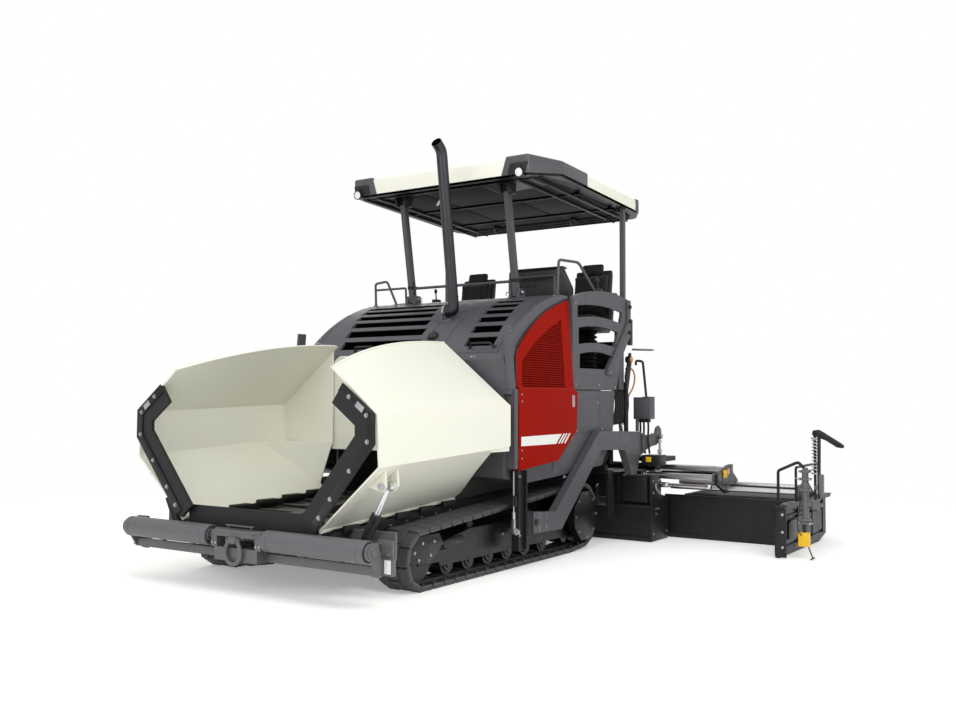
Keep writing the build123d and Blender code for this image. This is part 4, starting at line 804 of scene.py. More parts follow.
class PAVER_OT_tracks(Operator):
    """Builds the two crawler tracks: links, steel plates and interlocking rubber pads"""
    bl_idname = "paver.tracks"
    bl_label = "Tracks"

    def execute(self, context):
        sizes = context.scene.paver_sizes
        pads, plates = bmesh.new(), bmesh.new()
        stations, pitch = belt_stations(WHEELS, sizes.shoe_count)
        half = (pitch - sizes.shoe_gap) / 2
        for y, z, angle in stations:
            s, c = sin(angle), cos(angle)
            place = Matrix.Translation((TRACK_MIDDLE, y, z)) @ Matrix(((1, 0, 0), (0, s, c),
                (0, -c, s))).to_4x4()
            for x0, x1, step in ((-0.1525, -0.056, -0.014), (-0.05, 0.05, 0.014), (0.056, 0.1525, -0.014)):
                add_block(pads, (x0, x1), (step - half, step + half), (-0.031, 0), 0.006, 1, place)
            add_block(plates, (-0.148, 0.148), (-half * 0.95, half * 0.95), (-0.041, -0.03), 0, place=place)
            for x in (-0.045, 0.03):
                add_block(plates, (x, x + 0.016), (-half * 1.05, half * 1.05), (-0.055, -0.038), 0,
                    place=place)
            for x in (-0.11, 0.11):
                add_rod(plates, place @ Vector((x, 0, -0.052)), place @ Vector((x, 0, -0.04)), 0.012,
                    segments=6)
        for side, sign in SIDES:
            for name, bm, finish, nodes in (("track_pads", pads, "pad", [f"track_{side}"]),
                    ("track_plates", plates, "forged", ())):
                half_bm = bm.copy() if sign > 0 else mirrored(bm)
                piece(f"{name}_{side}", half_bm, finish, "chassis", nodes)
        pads.free()
        plates.free()
        self.frame_fittings()
        return {"FINISHED"}

    def frame_fittings(self):
        """Roller caps, drive cover, idler guard and step on the track frame."""
        bm = bmesh.new()
        for y in (-1.8, -1.5, -1.2, -0.9, -0.6, -0.3):
            add_turning(bm, [(0, 0), (0, 0.062), (0.012, 0.056), (0.012, 0.03), (0.022, 0.026), (0.022, 0)],
                (1.07, y, 0.15), (1, 0, 0), 20)
        y, z = WHEELS[2][:2]
        corners = [(y + 0.25 * cos(radians(22.5 + 45 * k)),
            z + 0.25 * sin(radians(22.5 + 45 * k))) for k in range(8)]
        side_outline(bm, corners, (1.181, 1.194), 0.004)
        side_outline(bm, [(-1.9, 0.29), (-1.9, 0.345), (-1.62, 0.36), (-1.62, 0.3)], (1.09, 1.112), 0.004)
        side_outline(bm, [(-2.40, 0.30), (-2.25, 0.42), (-1.98, 0.42), (-1.92, 0.33), (-2.1, 0.20),
            (-2.34, 0.21)], (1.118, 1.13), 0.006)
        # covers in the darker black that paints shade
        both_sides("track_frame_covers", bm, "shaded_gloss_black", "chassis")
        bm = bmesh.new()
        for k in range(8):
            a = radians(45 * k)
            add_bolt(bm, (1.194, y + 0.205 * cos(a), z + 0.205 * sin(a)), (1, 0, 0), 0.010)
        for by, bz in ((-2.3, 0.30), (-2.2, 0.36), (-2.05, 0.36), (-2.1, 0.26), (-2.25, 0.24)):
            add_bolt(bm, (1.13, by, bz), (1, 0, 0), 0.010)
        for by in (-1.0, -0.7, -0.4):
            add_bolt(bm, (1.09, by, 0.30), (1, 0, 0), 0.010)
        both_sides("track_frame_bolts", bm, "zinc", "chassis")


# ---------------------------------------------------------------- seats
SEAT_X, SEAT_Y = 0.75, 1.15
VOXEL = 0.006            # mesh size of a pad before it is stuffed
STUFFING_FRAMES = 20     # frames the cloth swells for
BELL = 2.718             # base of a sewn channel's rounded section


def swollen(bm, cap, pressure=4.0):
    """Stuffs a closed shape: voxel remesh, Cloth with pressure, movement capped, one subdivision."""
    mesh = bpy.data.meshes.new("pad")
    bm.to_mesh(mesh)
    bm.free()
    pad = bpy.data.objects.new("pad", mesh)
    bpy.context.collection.objects.link(pad)
    remesh = pad.modifiers.new("voxels", "REMESH")
    remesh.mode, remesh.voxel_size = "VOXEL", VOXEL
    mesh = bpy.data.meshes.new_from_object(pad.evaluated_get(bpy.context.evaluated_depsgraph_get()))
    pad.modifiers.clear()
    pad.data = mesh
    before = [v.co.copy() for v in mesh.vertices]
    cloth = pad.modifiers.new("cloth", "CLOTH")
    cloth.settings.use_pressure = True
    cloth.settings.uniform_pressure_force = pressure
    cloth.settings.effector_weights.gravity = 0
    cloth.point_cache.frame_start, cloth.point_cache.frame_end = 1, STUFFING_FRAMES
    for step in range(1, STUFFING_FRAMES + 1):
        bpy.context.scene.frame_set(step)
    filled = bpy.data.meshes.new_from_object(pad.evaluated_get(bpy.context.evaluated_depsgraph_get()))
    for v, start in zip(filled.vertices, before):
        moved = v.co - start
        if moved.length > cap:
            v.co = start + moved.normalized() * cap
    mesh = filled
    bpy.context.scene.frame_set(1)
    result = bmesh.new()
    result.from_mesh(mesh)
    bpy.data.objects.remove(pad)
    bmesh.ops.subdivide_edges(result, edges=result.edges, cuts=1, smooth=1.0, use_grid_fill=True)
    return result


def sew(bm, channels, along, depth=0.010, width=0.007):
    """Presses sewn channels into a pad where a coordinate equals each value."""
    for v in bm.verts:
        gap = min(abs(along(v.co) - c) for c in channels)
        if gap < width * 3:
            v.co -= v.normal * depth * BELL ** (-(gap / width) ** 2)


class PAVER_OT_seats(Operator):
    """Builds the two operator seats: stuffed pads, shell, arm rests and bellows"""
    bl_idname = "paver.seats"
    bl_label = "Seats"

    def execute(self, context):
        x, y = SEAT_X, SEAT_Y
        # name, side outline, half width, sewn channels, coordinate the channels follow
        pads = (
            ("seat_base_pad", [(-0.215, 2.245), (-0.215, 2.31), (-0.18, 2.335), (0.06, 2.325), (0.13, 2.33),
                (0.13, 2.245)], 0.205, (-0.11, 0.11), lambda p: p.x - SEAT_X),
            ("seat_back_pad", [(0.085, 2.36), (0.16, 2.355), (0.235, 2.78), (0.22, 2.795), (0.155, 2.795),
                (0.12, 2.62), (0.075, 2.5)], 0.20, (-0.11, 0.11), lambda p: p.x - SEAT_X),
            ("seat_head_pad", [(0.175, 2.815), (0.24, 2.81), (0.258, 2.905), (0.24, 2.92), (0.20, 2.92)],
                0.125, (9,), lambda p: p.x),
        )
        for name, outline, half, channels, along in pads:
            bm = bmesh.new()
            side_outline(bm, [(y + v, z) for v, z in outline], (x - half, x + half), 0.022)
            bm = swollen(bm, 0.014)
            bm.normal_update()
            sew(bm, channels, along)
            other = mirrored(bm)
            for (side, _), mesh in zip(SIDES, (bm, other)):
                nodes = [f"seat_cushion_{side}"] if name == "seat_base_pad" else ()
                pad = piece(f"{name}_{side}", mesh, "cloth", f"seat_{side}", nodes, sharp=180)
        bm = bmesh.new()
        # pan, back shell and arm rests
        side_outline(bm, [(y - 0.225, 2.18), (y - 0.235, 2.235), (y + 0.2, 2.235), (y + 0.2, 2.165)],
            (x - 0.225, x + 0.225), 0.02)
        side_outline(bm, [(y + 0.155, 2.2), (y + 0.205, 2.2), (y + 0.285, 2.8), (y + 0.27, 2.85),
            (y + 0.235, 2.85)], (x - 0.215, x + 0.215), 0.018)
        for d in (-0.07, 0.07):
            add_rod(bm, (x + d, y + 0.24, 2.8), (x + d, y + 0.235, 2.87), 0.008, segments=12)
        for s in (-1, 1):
            low, high = sorted((x + s * 0.245, x + s * 0.325))
            side_outline(bm, [(y - 0.19, 2.50), (y - 0.18, 2.56), (y - 0.05, 2.575), (y + 0.16, 2.59),
                (y + 0.2, 2.52), (y + 0.1, 2.49)], (low, high), 0.018)
            low, high = sorted((x + s * 0.225, x + s * 0.27))
            side_outline(bm, [(y + 0.08, 2.2), (y + 0.15, 2.2), (y + 0.2, 2.5), (y + 0.12, 2.5)],
                (low, high), 0.01)
        pair("seat_shell", bm, "plastic", "seat", ["seat_frame"])
        bm = bmesh.new()
        folds = [(0, 0), (0, 0.17), (0.02, 0.17), (0.025, 0.15)]
        for k in range(9):
            z = 0.05 + k * 0.045
            folds += [(z, 0.115), (z + 0.0225, 0.15)]
        add_turning(bm, folds + [(0.45, 0.11), (0.45, 0)], (x, y, 1.731), (0, 0, 1), 28)
        pair("seat_bellows", bm, "rubber", "seat")
        # joystick box and lever on the outer arm rest
        bm = bmesh.new()
        add_block(bm, (x + 0.25, x + 0.32), (y - 0.27, y - 0.17), (2.53, 2.60), 0.012)
        add_rod(bm, (x + 0.285, y - 0.225, 2.6), (x + 0.285, y - 0.235, 2.68), 0.008, segments=12)
        add_turning(bm, [(0, 0), (0.004, 0.014), (0.03, 0.019), (0.05, 0.014), (0.056, 0)],
            (x + 0.285, y - 0.233, 2.665), (0, -0.1, 1), 20)
        pair("seat_joystick", bm, "plastic", "seat")
        return {"FINISHED"}


# ---------------------------------------------------------------- side doors
# z, y of the grille's front edge
GRILLE_FRONT = ((1.57, -0.892), (1.79, -0.865), (1.9, -0.72), (2.004, -0.551), (2.124, -0.309), (2.2, -0.118))


def door_face(z):
    """x of the leaning outer face of the upper door."""
    return 1.224 - (z - 1.552) * 0.076


def grille_start(z):
    """Front end of a grille slat at a height."""
    for (z0, y0), (z1, y1) in zip(GRILLE_FRONT, GRILLE_FRONT[1:]):
        if z <= z1:
            return y0 + (y1 - y0) * (z - z0) / (z1 - z0)
    return GRILLE_FRONT[-1][1]


class PAVER_OT_doors(Operator):
    """Fits the doors: expanded-metal grille, stripe, latch, hinges and edge trim"""
    bl_idname = "paver.doors"
    bl_label = "Side doors"

    def execute(self, context):
        self.grille(context.scene.paver_sizes.slat_pitch)
        bm = bmesh.new()
        side_outline(bm, [(-0.995, 1.136), (-0.284, 1.143), (-0.388, 1.055), (-0.995, 1.056)],
            (1.2745, 1.2762))
        for top, foot in ((-0.235, -0.338), (-0.187, -0.287), (-0.13, -0.226)):
            side_outline(bm, [(top - 0.014, 1.144), (top + 0.014, 1.144), (foot + 0.014, 1.056),
                (foot - 0.014, 1.056)], (1.2745, 1.2762))
        pair("door_stripe", bm, "white", "side_door")
        bm = bmesh.new()
        add_block(bm, (1.272, 1.279), (-0.078, -0.034), (1.386, 1.498), 0.003)
        add_block(bm, (1.277, 1.284), (-0.07, -0.042), (1.40, 1.455), 0.003)
        add_turning(bm, [(0, 0), (0, 0.012), (0.006, 0.011), (0.006, 0)], (1.279, -0.056, 1.475), (1, 0, 0),
            16)
        for z in (0.95, 1.02, 1.44, 1.5):
            add_bolt(bm, (1.275, -0.985, z), (1, 0, 0), 0.007)
        pair("door_latch", bm, "zinc", "side_door")
        bm = bmesh.new()
        # hinge knuckles and the weather strip under the arch
        for z in (0.985, 1.47):
            add_rod(bm, (1.262, -1.035, z - 0.05), (1.262, -1.035, z + 0.05), 0.012, segments=16, bevel=0.002)
        arch = [(-0.995, 1.56), (-0.995, 1.84), (-0.84, 2.01), (-0.52, 2.203), (-0.25, 2.325), (0.052, 2.41)]
        add_hose(bm, [(door_face(z) + 0.001, y - 0.004, z + 0.006) for y, z in arch], 0.007)
        both_sides("door_weather_strip", bm, "rubber", "chassis")
        return {"FINISHED"}

    def grille(self, pitch):
        """Wavy slats over a back panel in darker red, which paints the shade behind them."""
        wave, bm = 0.042, bmesh.new()
        rows = int((2.185 - 1.585) / pitch)
        for k in range(rows):
            z = 1.583 + k * pitch
            start, end = grille_start(z) + 0.012, -0.128
            steps = max(2, int((end - start) / (wave / 2)))
            before = None
            for i in range(steps + 1):
                y = start + (end - start) * i / steps
                lift = pitch * 0.18 * (1 if i % 2 else -1)
                ring = [bm.verts.new((door_face(z) + out, y, z + lift + dz)) for out,
                    dz in ((-0.011, -0.001), (0.001, -0.0035), (-0.003, 0.0055))]
                if before:
                    for a in range(3):
                        b = (a + 1) % 3
                        bm.faces.new((before[a], before[b], ring[b], ring[a]))
                else:
                    bm.faces.new(ring)
                before = ring
            bm.faces.new(before)
        pair("door_grille", bm, "red", "side_door")
        bm = bmesh.new()
        outline = [(y + 0.004, z) for z, y in GRILLE_FRONT] + [(-0.124, 2.195), (-0.124, 1.574)]
        add_outline(bm, outline, lambda u, v: (door_face(v) - 0.0135, u, v), (1, 0, 0), 0.003)
        pair("door_grille_back", bm, "red_shaded", "side_door")


# ---------------------------------------------------------------- hood
# x limits of the rear slot, and its shift from row to row
SLOTS = {"left": (0.590, 0.900, 0.022), "right": (-0.985, -0.040, 0.044)}
FIRST_SLOT_Y, SLOT_PITCH = -0.33, 0.132


def hood_arc():
    """Centre (y, z) and radius of the hood's curve."""
    (y0, z0), (y1, z1), (y2, z2) = (-1.14, 1.8), (-0.745, 2.173), (-0.06, 2.45)
    a, b, c, d = 2 * (y1 - y0), 2 * (z1 - z0), 2 * (y2 - y0), 2 * (z2 - z0)
    e, f = y1 ** 2 - y0 ** 2 + z1 ** 2 - z0 ** 2, y2 ** 2 - y0 ** 2 + z2 ** 2 - z0 ** 2
    det = a * d - b * c
    cy, cz = (e * d - b * f) / det, (a * f - e * c) / det
    return cy, cz, hypot(y0 - cy, z0 - cz)


def hood_point(y, out=0.0):
    """(y, z) on the hood's curve, moved outwards, and the outward direction."""
    cy, cz, radius = hood_arc()
    z = cz + (radius ** 2 - (y - cy) ** 2) ** 0.5
    ny, nz = (y - cy) / radius, (z - cz) / radius
    return y + ny * out, z + nz * out, (ny, nz)


class PAVER_OT_hood(Operator):
    """Fits the hood: louvre rods, dark liners that paint the shade in the slots, a radiator core in
    near-black that paints the hood's inner shade, handles, filler cap and bolts
    """
    bl_idname = "paver.hood"
    bl_label = "Hood"

    def execute(self, context):
        rows = context.scene.paver_sizes.louvre_rows
        for side, (left, right, shift) in SLOTS.items():
            bm, shade_liner = bmesh.new(), bmesh.new()
            for row in range(rows):
                y = FIRST_SLOT_Y - row * SLOT_PITCH
                x0, x1 = left + shift * row, right + shift * row
                for edge, out, size in ((0.044, -0.004, 0.0055), (-0.044, -0.005, 0.005)):
                    py, pz, _ = hood_point(y + edge, out)
                    add_rod(bm, (x0 - 0.004, py, pz), (x1 + 0.004, py, pz), size, segments=12)
                # dark liner over the opening's upper wall: painted shade inside the slot
                py, pz, _ = hood_point(y + 0.0436, -0.004)
                wall = [(py, pz), (py, pz - 0.06), (py - 0.003, pz - 0.06), (py - 0.003, pz - 0.003)]
                add_outline(shade_liner, wall, lambda u, v: (x0, u, v), (1, 0, 0), x1 - x0)
            piece(f"louvre_blades_{side}", bm, "grey", f"hood_hatch_{side}")
            piece(f"louvre_shade_liners_{side}", shade_liner, "blackout", f"hood_hatch_{side}")
        # radiator core seen through the openings, in near-black: painted shade of the hood's inside
        bm = bmesh.new()
        points = [hood_point(y, -0.075)[:2] for y in (-1.06, -0.9, -0.7, -0.5, -0.3, -0.22)]
        inner = [hood_point(y, -0.10)[:2] for y in (-0.22, -0.3, -0.5, -0.7, -0.9, -1.06)]
        add_outline(bm, points + inner, lambda u, v: (-1.02, u, v), (1, 0, 0), 2.0)
        piece("radiator_core_painted_shade", bm, "blackout", "chassis")
        self.handle()
        self.caps()
        return {"FINISHED"}

    def handle(self):
        """Grab handle and bolts on the left hatch, and a matching pair on the right one."""
        for side, middle in (("left", 0.905), ("right", -0.42)):
            bm = bmesh.new()
            y, z, (ny, nz) = hood_point(-1.045, 0.0)
            feet = [(middle - 0.13, y, z), (middle + 0.13, y, z)]
            lift = Vector((0, ny, nz)) * 0.05
            route = [Vector(feet[0]), Vector(feet[0]) + lift + Vector((0.03, 0, 0)),
                Vector(feet[1]) + lift - Vector((0.03, 0, 0)), Vector(feet[1])]
            add_rail(bm, route, 0.02, 0.010)
            for foot in feet:
                add_turning(bm, [(-0.004, 0), (-0.004, 0.022), (0.006, 0.02), (0.010, 0.012), (0.010, 0)],
                    foot, (0, ny, nz), 16)
            piece(f"hatch_handle_{side}", bm, "plastic", f"hood_hatch_{side}")

    def caps(self):
        """Filler cap, the hood's bolts and a blank plate."""
        bm = bmesh.new()
        y, z, (ny, nz) = hood_point(-0.93)
        add_turning(bm, [(-0.02, 0), (-0.02, 0.052), (0.02, 0.052), (0.034, 0.044), (0.042, 0.02),
            (0.042, 0)], (0.29, y, z), (0, ny, nz), 28)
        for k in range(12):
            a = radians(30 * k)
            add_rod(bm, (0.29 + 0.052 * cos(a), y, z + 0.002), (0.29 + 0.052 * cos(a), y + ny * 0.02,
                z + 0.022), 0.004, segments=6)
        piece("filler_cap", bm, "plastic", "chassis")
        bm = bmesh.new()
        for x in (0.84, 0.87):
            y, z, normal = hood_point(-1.118, -0.002)
            add_bolt(bm, (x, y, z), (0, *normal), 0.008)
        for x in (-1.13, 1.12):
            for y in (-0.9, -0.5, -0.15):
                by, bz, normal = hood_point(y, -0.003)
                add_bolt(bm, (x, by, bz), (0, *normal), 0.007)
        piece("hood_bolts", bm, "zinc", "chassis")
        # pale blank plate on the right shoulder
        bm = bmesh.new()
        y, z, normal = hood_point(-0.95)
        add_block(bm, (-1.13, -1.09), (y - 0.02, y + 0.02), (z - 0.002, z + 0.002), 0.001)
        piece("blank_plate_hood", bm, "white", "chassis")


# ---------------------------------------------------------------- exhaust
class PAVER_OT_exhaust(Operator):
    """Builds the exhaust stack: stub, band clamp, elbow, leaning pipe and cut mouth"""
    bl_idname = "paver.exhaust"
    bl_label = "Exhaust"

    def execute(self, context):
        x, y, z, lean, radius = 0.35, -0.69, 2.287, radians(8), 0.052
        along = Vector((0, -sin(lean), cos(lean)))
        foot = Vector((x, y, z))
        tip = foot + along * 1.535
        mouth = tip + Vector((0, -0.075, 0.01))
        bm = bmesh.new()
        route = [foot - Vector((0.074, 0, 0)), foot - Vector((0.045, 0, 0)), foot - Vector((0.008, 0, 0)),
            foot + along * 0.025, foot + along * 0.09, foot + along * 0.8,
                 tip - along * 0.16, tip - along * 0.075, tip - along * 0.03 + Vector((0, -0.02, 0)), mouth]
        add_hose(bm, route, radius, resolution=8, steps=6)
        bm.faces.ensure_lookup_table()
        lid = min((f for f in bm.faces if len(f.verts) > 8),
            key=lambda f: (f.calc_center_median() - mouth).length)
        bmesh.ops.inset_region(bm, faces=[lid], thickness=0.004)
        inward = (tip - along * 0.05 - mouth).normalized()
        deep = bmesh.ops.extrude_discrete_faces(bm, faces=[lid])["faces"]
        bmesh.ops.translate(bm, vec=inward * 0.07, verts=deep[0].verts)
        add_turning(bm, [(0, radius), (0, radius + 0.004), (0.012, radius + 0.004), (0.012, radius)],
            foot + along * 0.12, along, 32)
        piece("exhaust_stack", bm, "exhaust", "exhaust", ["exhaust_pipe"])
        bm = bmesh.new()
        # black disc deep in the mouth: soot, and painted shade of the pipe's inside
        add_turning(bm, [(0, 0), (0, 0.047), (0.004, 0.047), (0.004, 0)], mouth + inward * 0.062, -inward, 24)
        piece("exhaust_soot_and_shade", bm, "rubber", "exhaust")
        # band clamp on the stub, its bolt, and the stub's bracket, all fixed to the hood
        bm = bmesh.new()
        add_turning(bm, [(0, 0.056), (0, 0.061), (0.022, 0.061), (0.022, 0.056)], (x - 0.102, y, z),
            (1, 0, 0), 32)
        add_rod(bm, (x - 0.091, y - 0.03, z + 0.070), (x - 0.091, y + 0.03, z + 0.070), 0.007, segments=10)
        add_block(bm, (x - 0.101, x - 0.081), (y - 0.022, y - 0.012), (z + 0.055, z + 0.08), 0.002)
        add_block(bm, (x - 0.101, x - 0.081), (y + 0.012, y + 0.022), (z + 0.055, z + 0.08), 0.002)
        piece("exhaust_clamp", bm, "zinc", "chassis")
        bm = bmesh.new()
        sy, sz, (ny, nz) = hood_point(-0.70)
        front_outline(bm, [(x - 0.16, sz - 0.04), (x - 0.125, sz + 0.055), (x - 0.09, sz + 0.055),
            (x - 0.085, sz - 0.04)], (y - 0.062, y - 0.054), 0.002)
        add_turning(bm, [(-0.03, 0), (-0.03, 0.062), (0.004, 0.062), (0.012, 0.05), (0.012, 0)],
            (x - 0.077, sy, sz), (0, ny, nz), 28)
        piece("exhaust_bracket", bm, "grey", "chassis")
        return {"FINISHED"}


# ---------------------------------------------------------------- hopper
FLOOR_RISE = 0.061       # rise of the hopper's floor and hinge line towards the body


def offset(points, distance):
    """An open (u, v) line moved to its left, with mitred corners."""
    moved = []
    for i, (u, v) in enumerate(points):
        normals = []
        for a, b in ((points[max(i - 1, 0)], (u, v)), ((u, v), points[min(i + 1, len(points) - 1)])):
            length = hypot(b[0] - a[0], b[1] - a[1])
            if length:
                normals.append((-(b[1] - a[1]) / length, (b[0] - a[0]) / length))
        nu, nv = (sum(n[k] for n in normals) / len(normals) for k in (0, 1))
        scale = distance / (nu * nu + nv * nv)
        moved.append((u + nu * scale, v + nv * scale))
    return moved


def hinge_height(y):
    """Height of the wings' hinge line."""
    return 0.5 + (y + 2.925) * FLOOR_RISE


def wing_edge(y):
    """Point on the wing's arched top edge."""
    z = sum(value * (y - a) * (y - b) / ((at - a) * (at - b)) for at, value, a,
        b in ((-1.22, 1.95, -2.15, -2.925), (-2.15, 1.878, -1.22, -2.925), (-2.925, 1.69, -1.22, -2.15)))
    f = (y + 2.925) / 1.705
    x2, z2, x3, z3 = 1.272 + 0.028 * f, 1.352 + 0.058 * f, 0.843 - 0.215 * f, 1.702 + 0.248 * f
    return x2 + (x3 - x2) * (z - z2) / (z3 - z2), y, z


class PAVER_OT_hopper(Operator):
    """Fits the hopper: flange strips, bolts, rolled edges, hinge flaps, sill and conveyor bars"""
    bl_idname = "paver.hopper"
    bl_label = "Hopper"

    def execute(self, context):
        fold = [(0.752, 0.532), (1.264, 1.142), (1.261, 1.357), (0.98, 1.564)]
        bm = bmesh.new()
        front_outline(bm, offset(fold, -0.013) + offset(fold, 0.060)[::-1], (-2.966, -2.957), 0.0015)
        for y in (-2.968, -2.955):
            front_outline(bm, fold + offset(fold, 0.008)[::-1], (y, y + 0.01), 0.002)
        # flange strips in the darker black that paints shade
        pair("wing_flange", bm, "shaded_gloss_black", "hopper_wing")
        bm = bmesh.new()
        for x, z in ((0.775, 0.605), (0.882, 0.745), (1.059, 0.952), (1.222, 1.161), (1.212, 1.345),
                (1.052, 1.475)):
            add_bolt(bm, (x, -2.966, z), (0, -1, 0), 0.014)
        add_rod(bm, (1.235, -2.84, 0.84), (1.235, -2.818, 0.84), 0.026, segments=20, bevel=0.003)
        add_rod(bm, (1.235, -2.662, 0.84), (1.235, -2.65, 0.84), 0.026, segments=20, bevel=0.003)
        pair("wing_bolts", bm, "zinc", "hopper_wing")
        bm = bmesh.new()
        along, across = Vector((-0.805, 0, 0.593)), Vector((-0.593, 0, -0.805))
        middle = Vector((1.15, -2.968, 1.404))
        corners = [middle + along * a + across * b for a, b in ((-0.04, -0.022), (0.04, -0.022),
            (0.04, 0.022), (-0.04, 0.022))]
        front_outline(bm, [(c.x, c.z) for c in corners], (-2.969, -2.966), 0.001)
        pair("wing_blank_plate", bm, "zinc", "hopper_wing")
        # rolled top edge and the hem of the rear edge
        bm = bmesh.new()
        add_hose(bm, [wing_edge(y) for y in (-2.915, -2.7, -2.4, -2.1, -1.8, -1.5, -1.3, -1.228)], 0.010)
        add_rod(bm, (1.298, -1.222, 1.07), (1.298, -1.222, 1.41), 0.009, segments=12)
        pair("wing_hem", bm, "cream", "hopper_wing")
        # foot strip with its flaps, outside and inside
        bm, bolts = bmesh.new(), bmesh.new()
        y0, y1 = -2.86, -1.28
        z0, z1 = hinge_height(y0), hinge_height(y1)
        side_outline(bm, [(y0, z0 - 0.11), (y0, z0 - 0.022), (y1, z1 - 0.022), (y1, z1 - 0.11)],
            (0.791, 0.803), 0.002)
        for k in range(5):
            y = -2.66 + 0.31 * k
            z = hinge_height(y)
            add_block(bm, (0.80, 0.83), (y - 0.085, y + 0.085), (z - 0.045, z + 0.012), 0.008)
            add_block(bm, (0.655, 0.73), (y - 0.10, y + 0.10), (z - 0.012, z + 0.028), 0.009)
        for k in range(8):
            y = -2.78 + 0.2 * k
            add_bolt(bolts, (0.803, y, hinge_height(y) - 0.075), (1, 0, 0), 0.011)
        side_outline(bm, [(y0, z0 - 0.04), (y0, z0 + 0.01), (y1, z1 + 0.01), (y1, z1 - 0.04)], (0.692, 0.70),
            0.001)
        both_sides("hinge_flaps", bm, "rubber", "chassis")
        # sill under the apron
        bm = bmesh.new()
        add_block(bm, (0.0, 0.702), (-2.906, -2.900), (0.350, 0.404), 0.002)
        for x in (0.07, 0.22, 0.37, 0.52, 0.66):
            add_bolt(bolts, (x, -2.902, 0.385), (0, -1, 0), 0.009)
        both_sides("front_sill", bm, "mid", "chassis")
        both_sides("hopper_bolts", bolts, "zinc", "chassis")
        # wall between the wings' rear walls, in front of the body
        bm = bmesh.new()
        front_outline(bm, [(-0.69, 0.985), (0.69, 0.985), (0.69, 1.80), (0.60, 1.86), (-0.60, 1.86),
            (-0.69, 1.80)], (-1.210, -1.145), 0.004)
        add_block(bm, (-0.60, 0.60), (-1.214, -1.205), (1.835, 1.86), 0.004)
        piece("hopper_rear_wall", bm, "cream", "chassis")
        self.conveyor()
        return {"FINISHED"}

    def conveyor(self):
        """Scraper bars and their two chains on each lane of the floor."""
        bm = bmesh.new()
        y = -2.74
        while y < 0.7:
            z = 0.455 + (y + 2.85) * FLOOR_RISE
            add_block(bm, (0.085, 0.635), (y - 0.022, y + 0.022), (z + 0.001, z + 0.022), 0.004, 1)
            y += 0.28
        for x in (0.10, 0.59):
            side_outline(bm, [(-2.78, 0.456), (-2.78, 0.466), (0.75, 0.684), (0.75, 0.672)], (x, x + 0.03),
                0.002)
        both_sides("conveyor_bars", bm, "plate", "chassis")


# ---------------------------------------------------------------- push rollers
class PAVER_OT_rollers(Operator):
    """Builds the push rollers, the beam's cover, clamps and plates, and the tow ring"""
    bl_idname = "paver.rollers"
    bl_label = "Push rollers"

    def execute(self, context):
        end = [(0.014, 0.0), (0.014, 0.030), (0.004, 0.034), (0.004, 0.050), (0.014, 0.053), (0.014, 0.064),
            (0.0, 0.070), (0.0, 0.075), (0.005, 0.080), (0.050, 0.080), (0.053, 0.0765), (0.060, 0.0765),
            (0.063, 0.080)]
        length = 0.975
        profile = [(-0.03, 0), (-0.03, 0.022)] + [(0.014, 0.022)] + end[1:] + [(length - d, r) for d,
            r in reversed(end[1:])] + [(length - 0.014, 0.022), (length + 0.05, 0.022), (length + 0.05, 0)]
        bm = bmesh.new()
        add_turning(bm, profile, (0.300, -3.005, 0.407), (1, 0, 0), 48)
        pair("push_roller_drum", bm, "mid", "push_roller", ["push_roller"])
        bm = bmesh.new()
        # lip and latch bar of the centre cover, hooked clamps on the lower bar, caps of the outer bosses
        plan = [(0, -3.067), (0.205, -3.067), (0.279, -2.992), (0.279, -2.956), (0, -2.956)]
        add_cap(bm, plan, lambda y: 0.452, lambda y: 0.468, 0.007)
        add_block(bm, (0, 0.15), (-3.005, -2.988), (0.488, 0.500), 0.005)
        add_rod(bm, (0.12, -2.996, 0.462), (0.12, -2.996, 0.490), 0.007, segments=12)
        for x in (0.60, 0.96):
            add_block(bm, (x - 0.018, x + 0.018), (-2.918, -2.908), (0.230, 0.322), 0.004)
            add_block(bm, (x - 0.018, x + 0.018), (-2.912, -2.848), (0.230, 0.239), 0.003)
            add_block(bm, (x - 0.018, x + 0.018), (-2.945, -2.916), (0.304, 0.322), 0.004)
        add_turning(bm, [(0, 0), (0, 0.050), (0.006, 0.050), (0.006, 0.034), (0.012, 0.030), (0.012, 0.018),
            (0.016, 0.016), (0.016, 0)], (1.304, -3.005, 0.407), (1, 0, 0), 32)
        add_turning(bm, [(0, 0.047), (0.008, 0.046), (0.024, 0.036), (0.030, 0.02), (0.032, 0)],
            (1.262, -2.88, 0.262), (1, 0, 0), 28)
        both_sides("beam_fittings", bm, "mid", "roller_beam")
        bm = bmesh.new()
        for x, z in ((1.265, 0.450), (1.265, 0.385), (1.335, 0.375)):
            add_bolt(bm, (x, -2.872, z), (0, -1, 0), 0.009)
        for x in (0.215, 0.255):
            add_bolt(bm, (x, -3.04, 0.36), (0, -1, 0), 0.008)
        both_sides("beam_bolts", bm, "zinc", "roller_beam")
        bm = bmesh.new()
        add_block(bm, (1.318, 1.376), (-2.8925, -2.890), (0.250, 0.345), 0.001)
        both_sides("beam_blank_plates", bm, "white", "roller_beam")
        # tow ring: one bent bar on a pin, with the block that holds the pin
        bm = bmesh.new()
        y, top = -3.064, 0.396
        left = [(-0.050, y, top), (-0.055, y, top - 0.02), (-0.080, y, top - 0.068),
            (-0.080, y, top - 0.128), (-0.045, y, top - 0.170)]
        add_hose(bm, left + [(0, y, top - 0.180)] + [(-x, b, c) for x, b, c in reversed(left)], 0.0165,
            resolution=4)
        for x in (-0.055, 0.055):
            add_rod(bm, (x - 0.009, y, top), (x + 0.009, y, top), 0.019, segments=24, bevel=0.003)
        add_rod(bm, (-0.07, y, top), (0.07, y, top), 0.009, segments=16, bevel=0.002)
        piece("tow_ring_bar", bm, "mid", "tow_ring", ["tow_ring"])
        bm = bmesh.new()
        add_block(bm, (-0.040, 0.040), (-3.0835, -3.036), (top - 0.024, 0.422), 0.008, 3)
        piece("tow_ring_block", bm, "mid", "roller_beam")
        return {"FINISHED"}


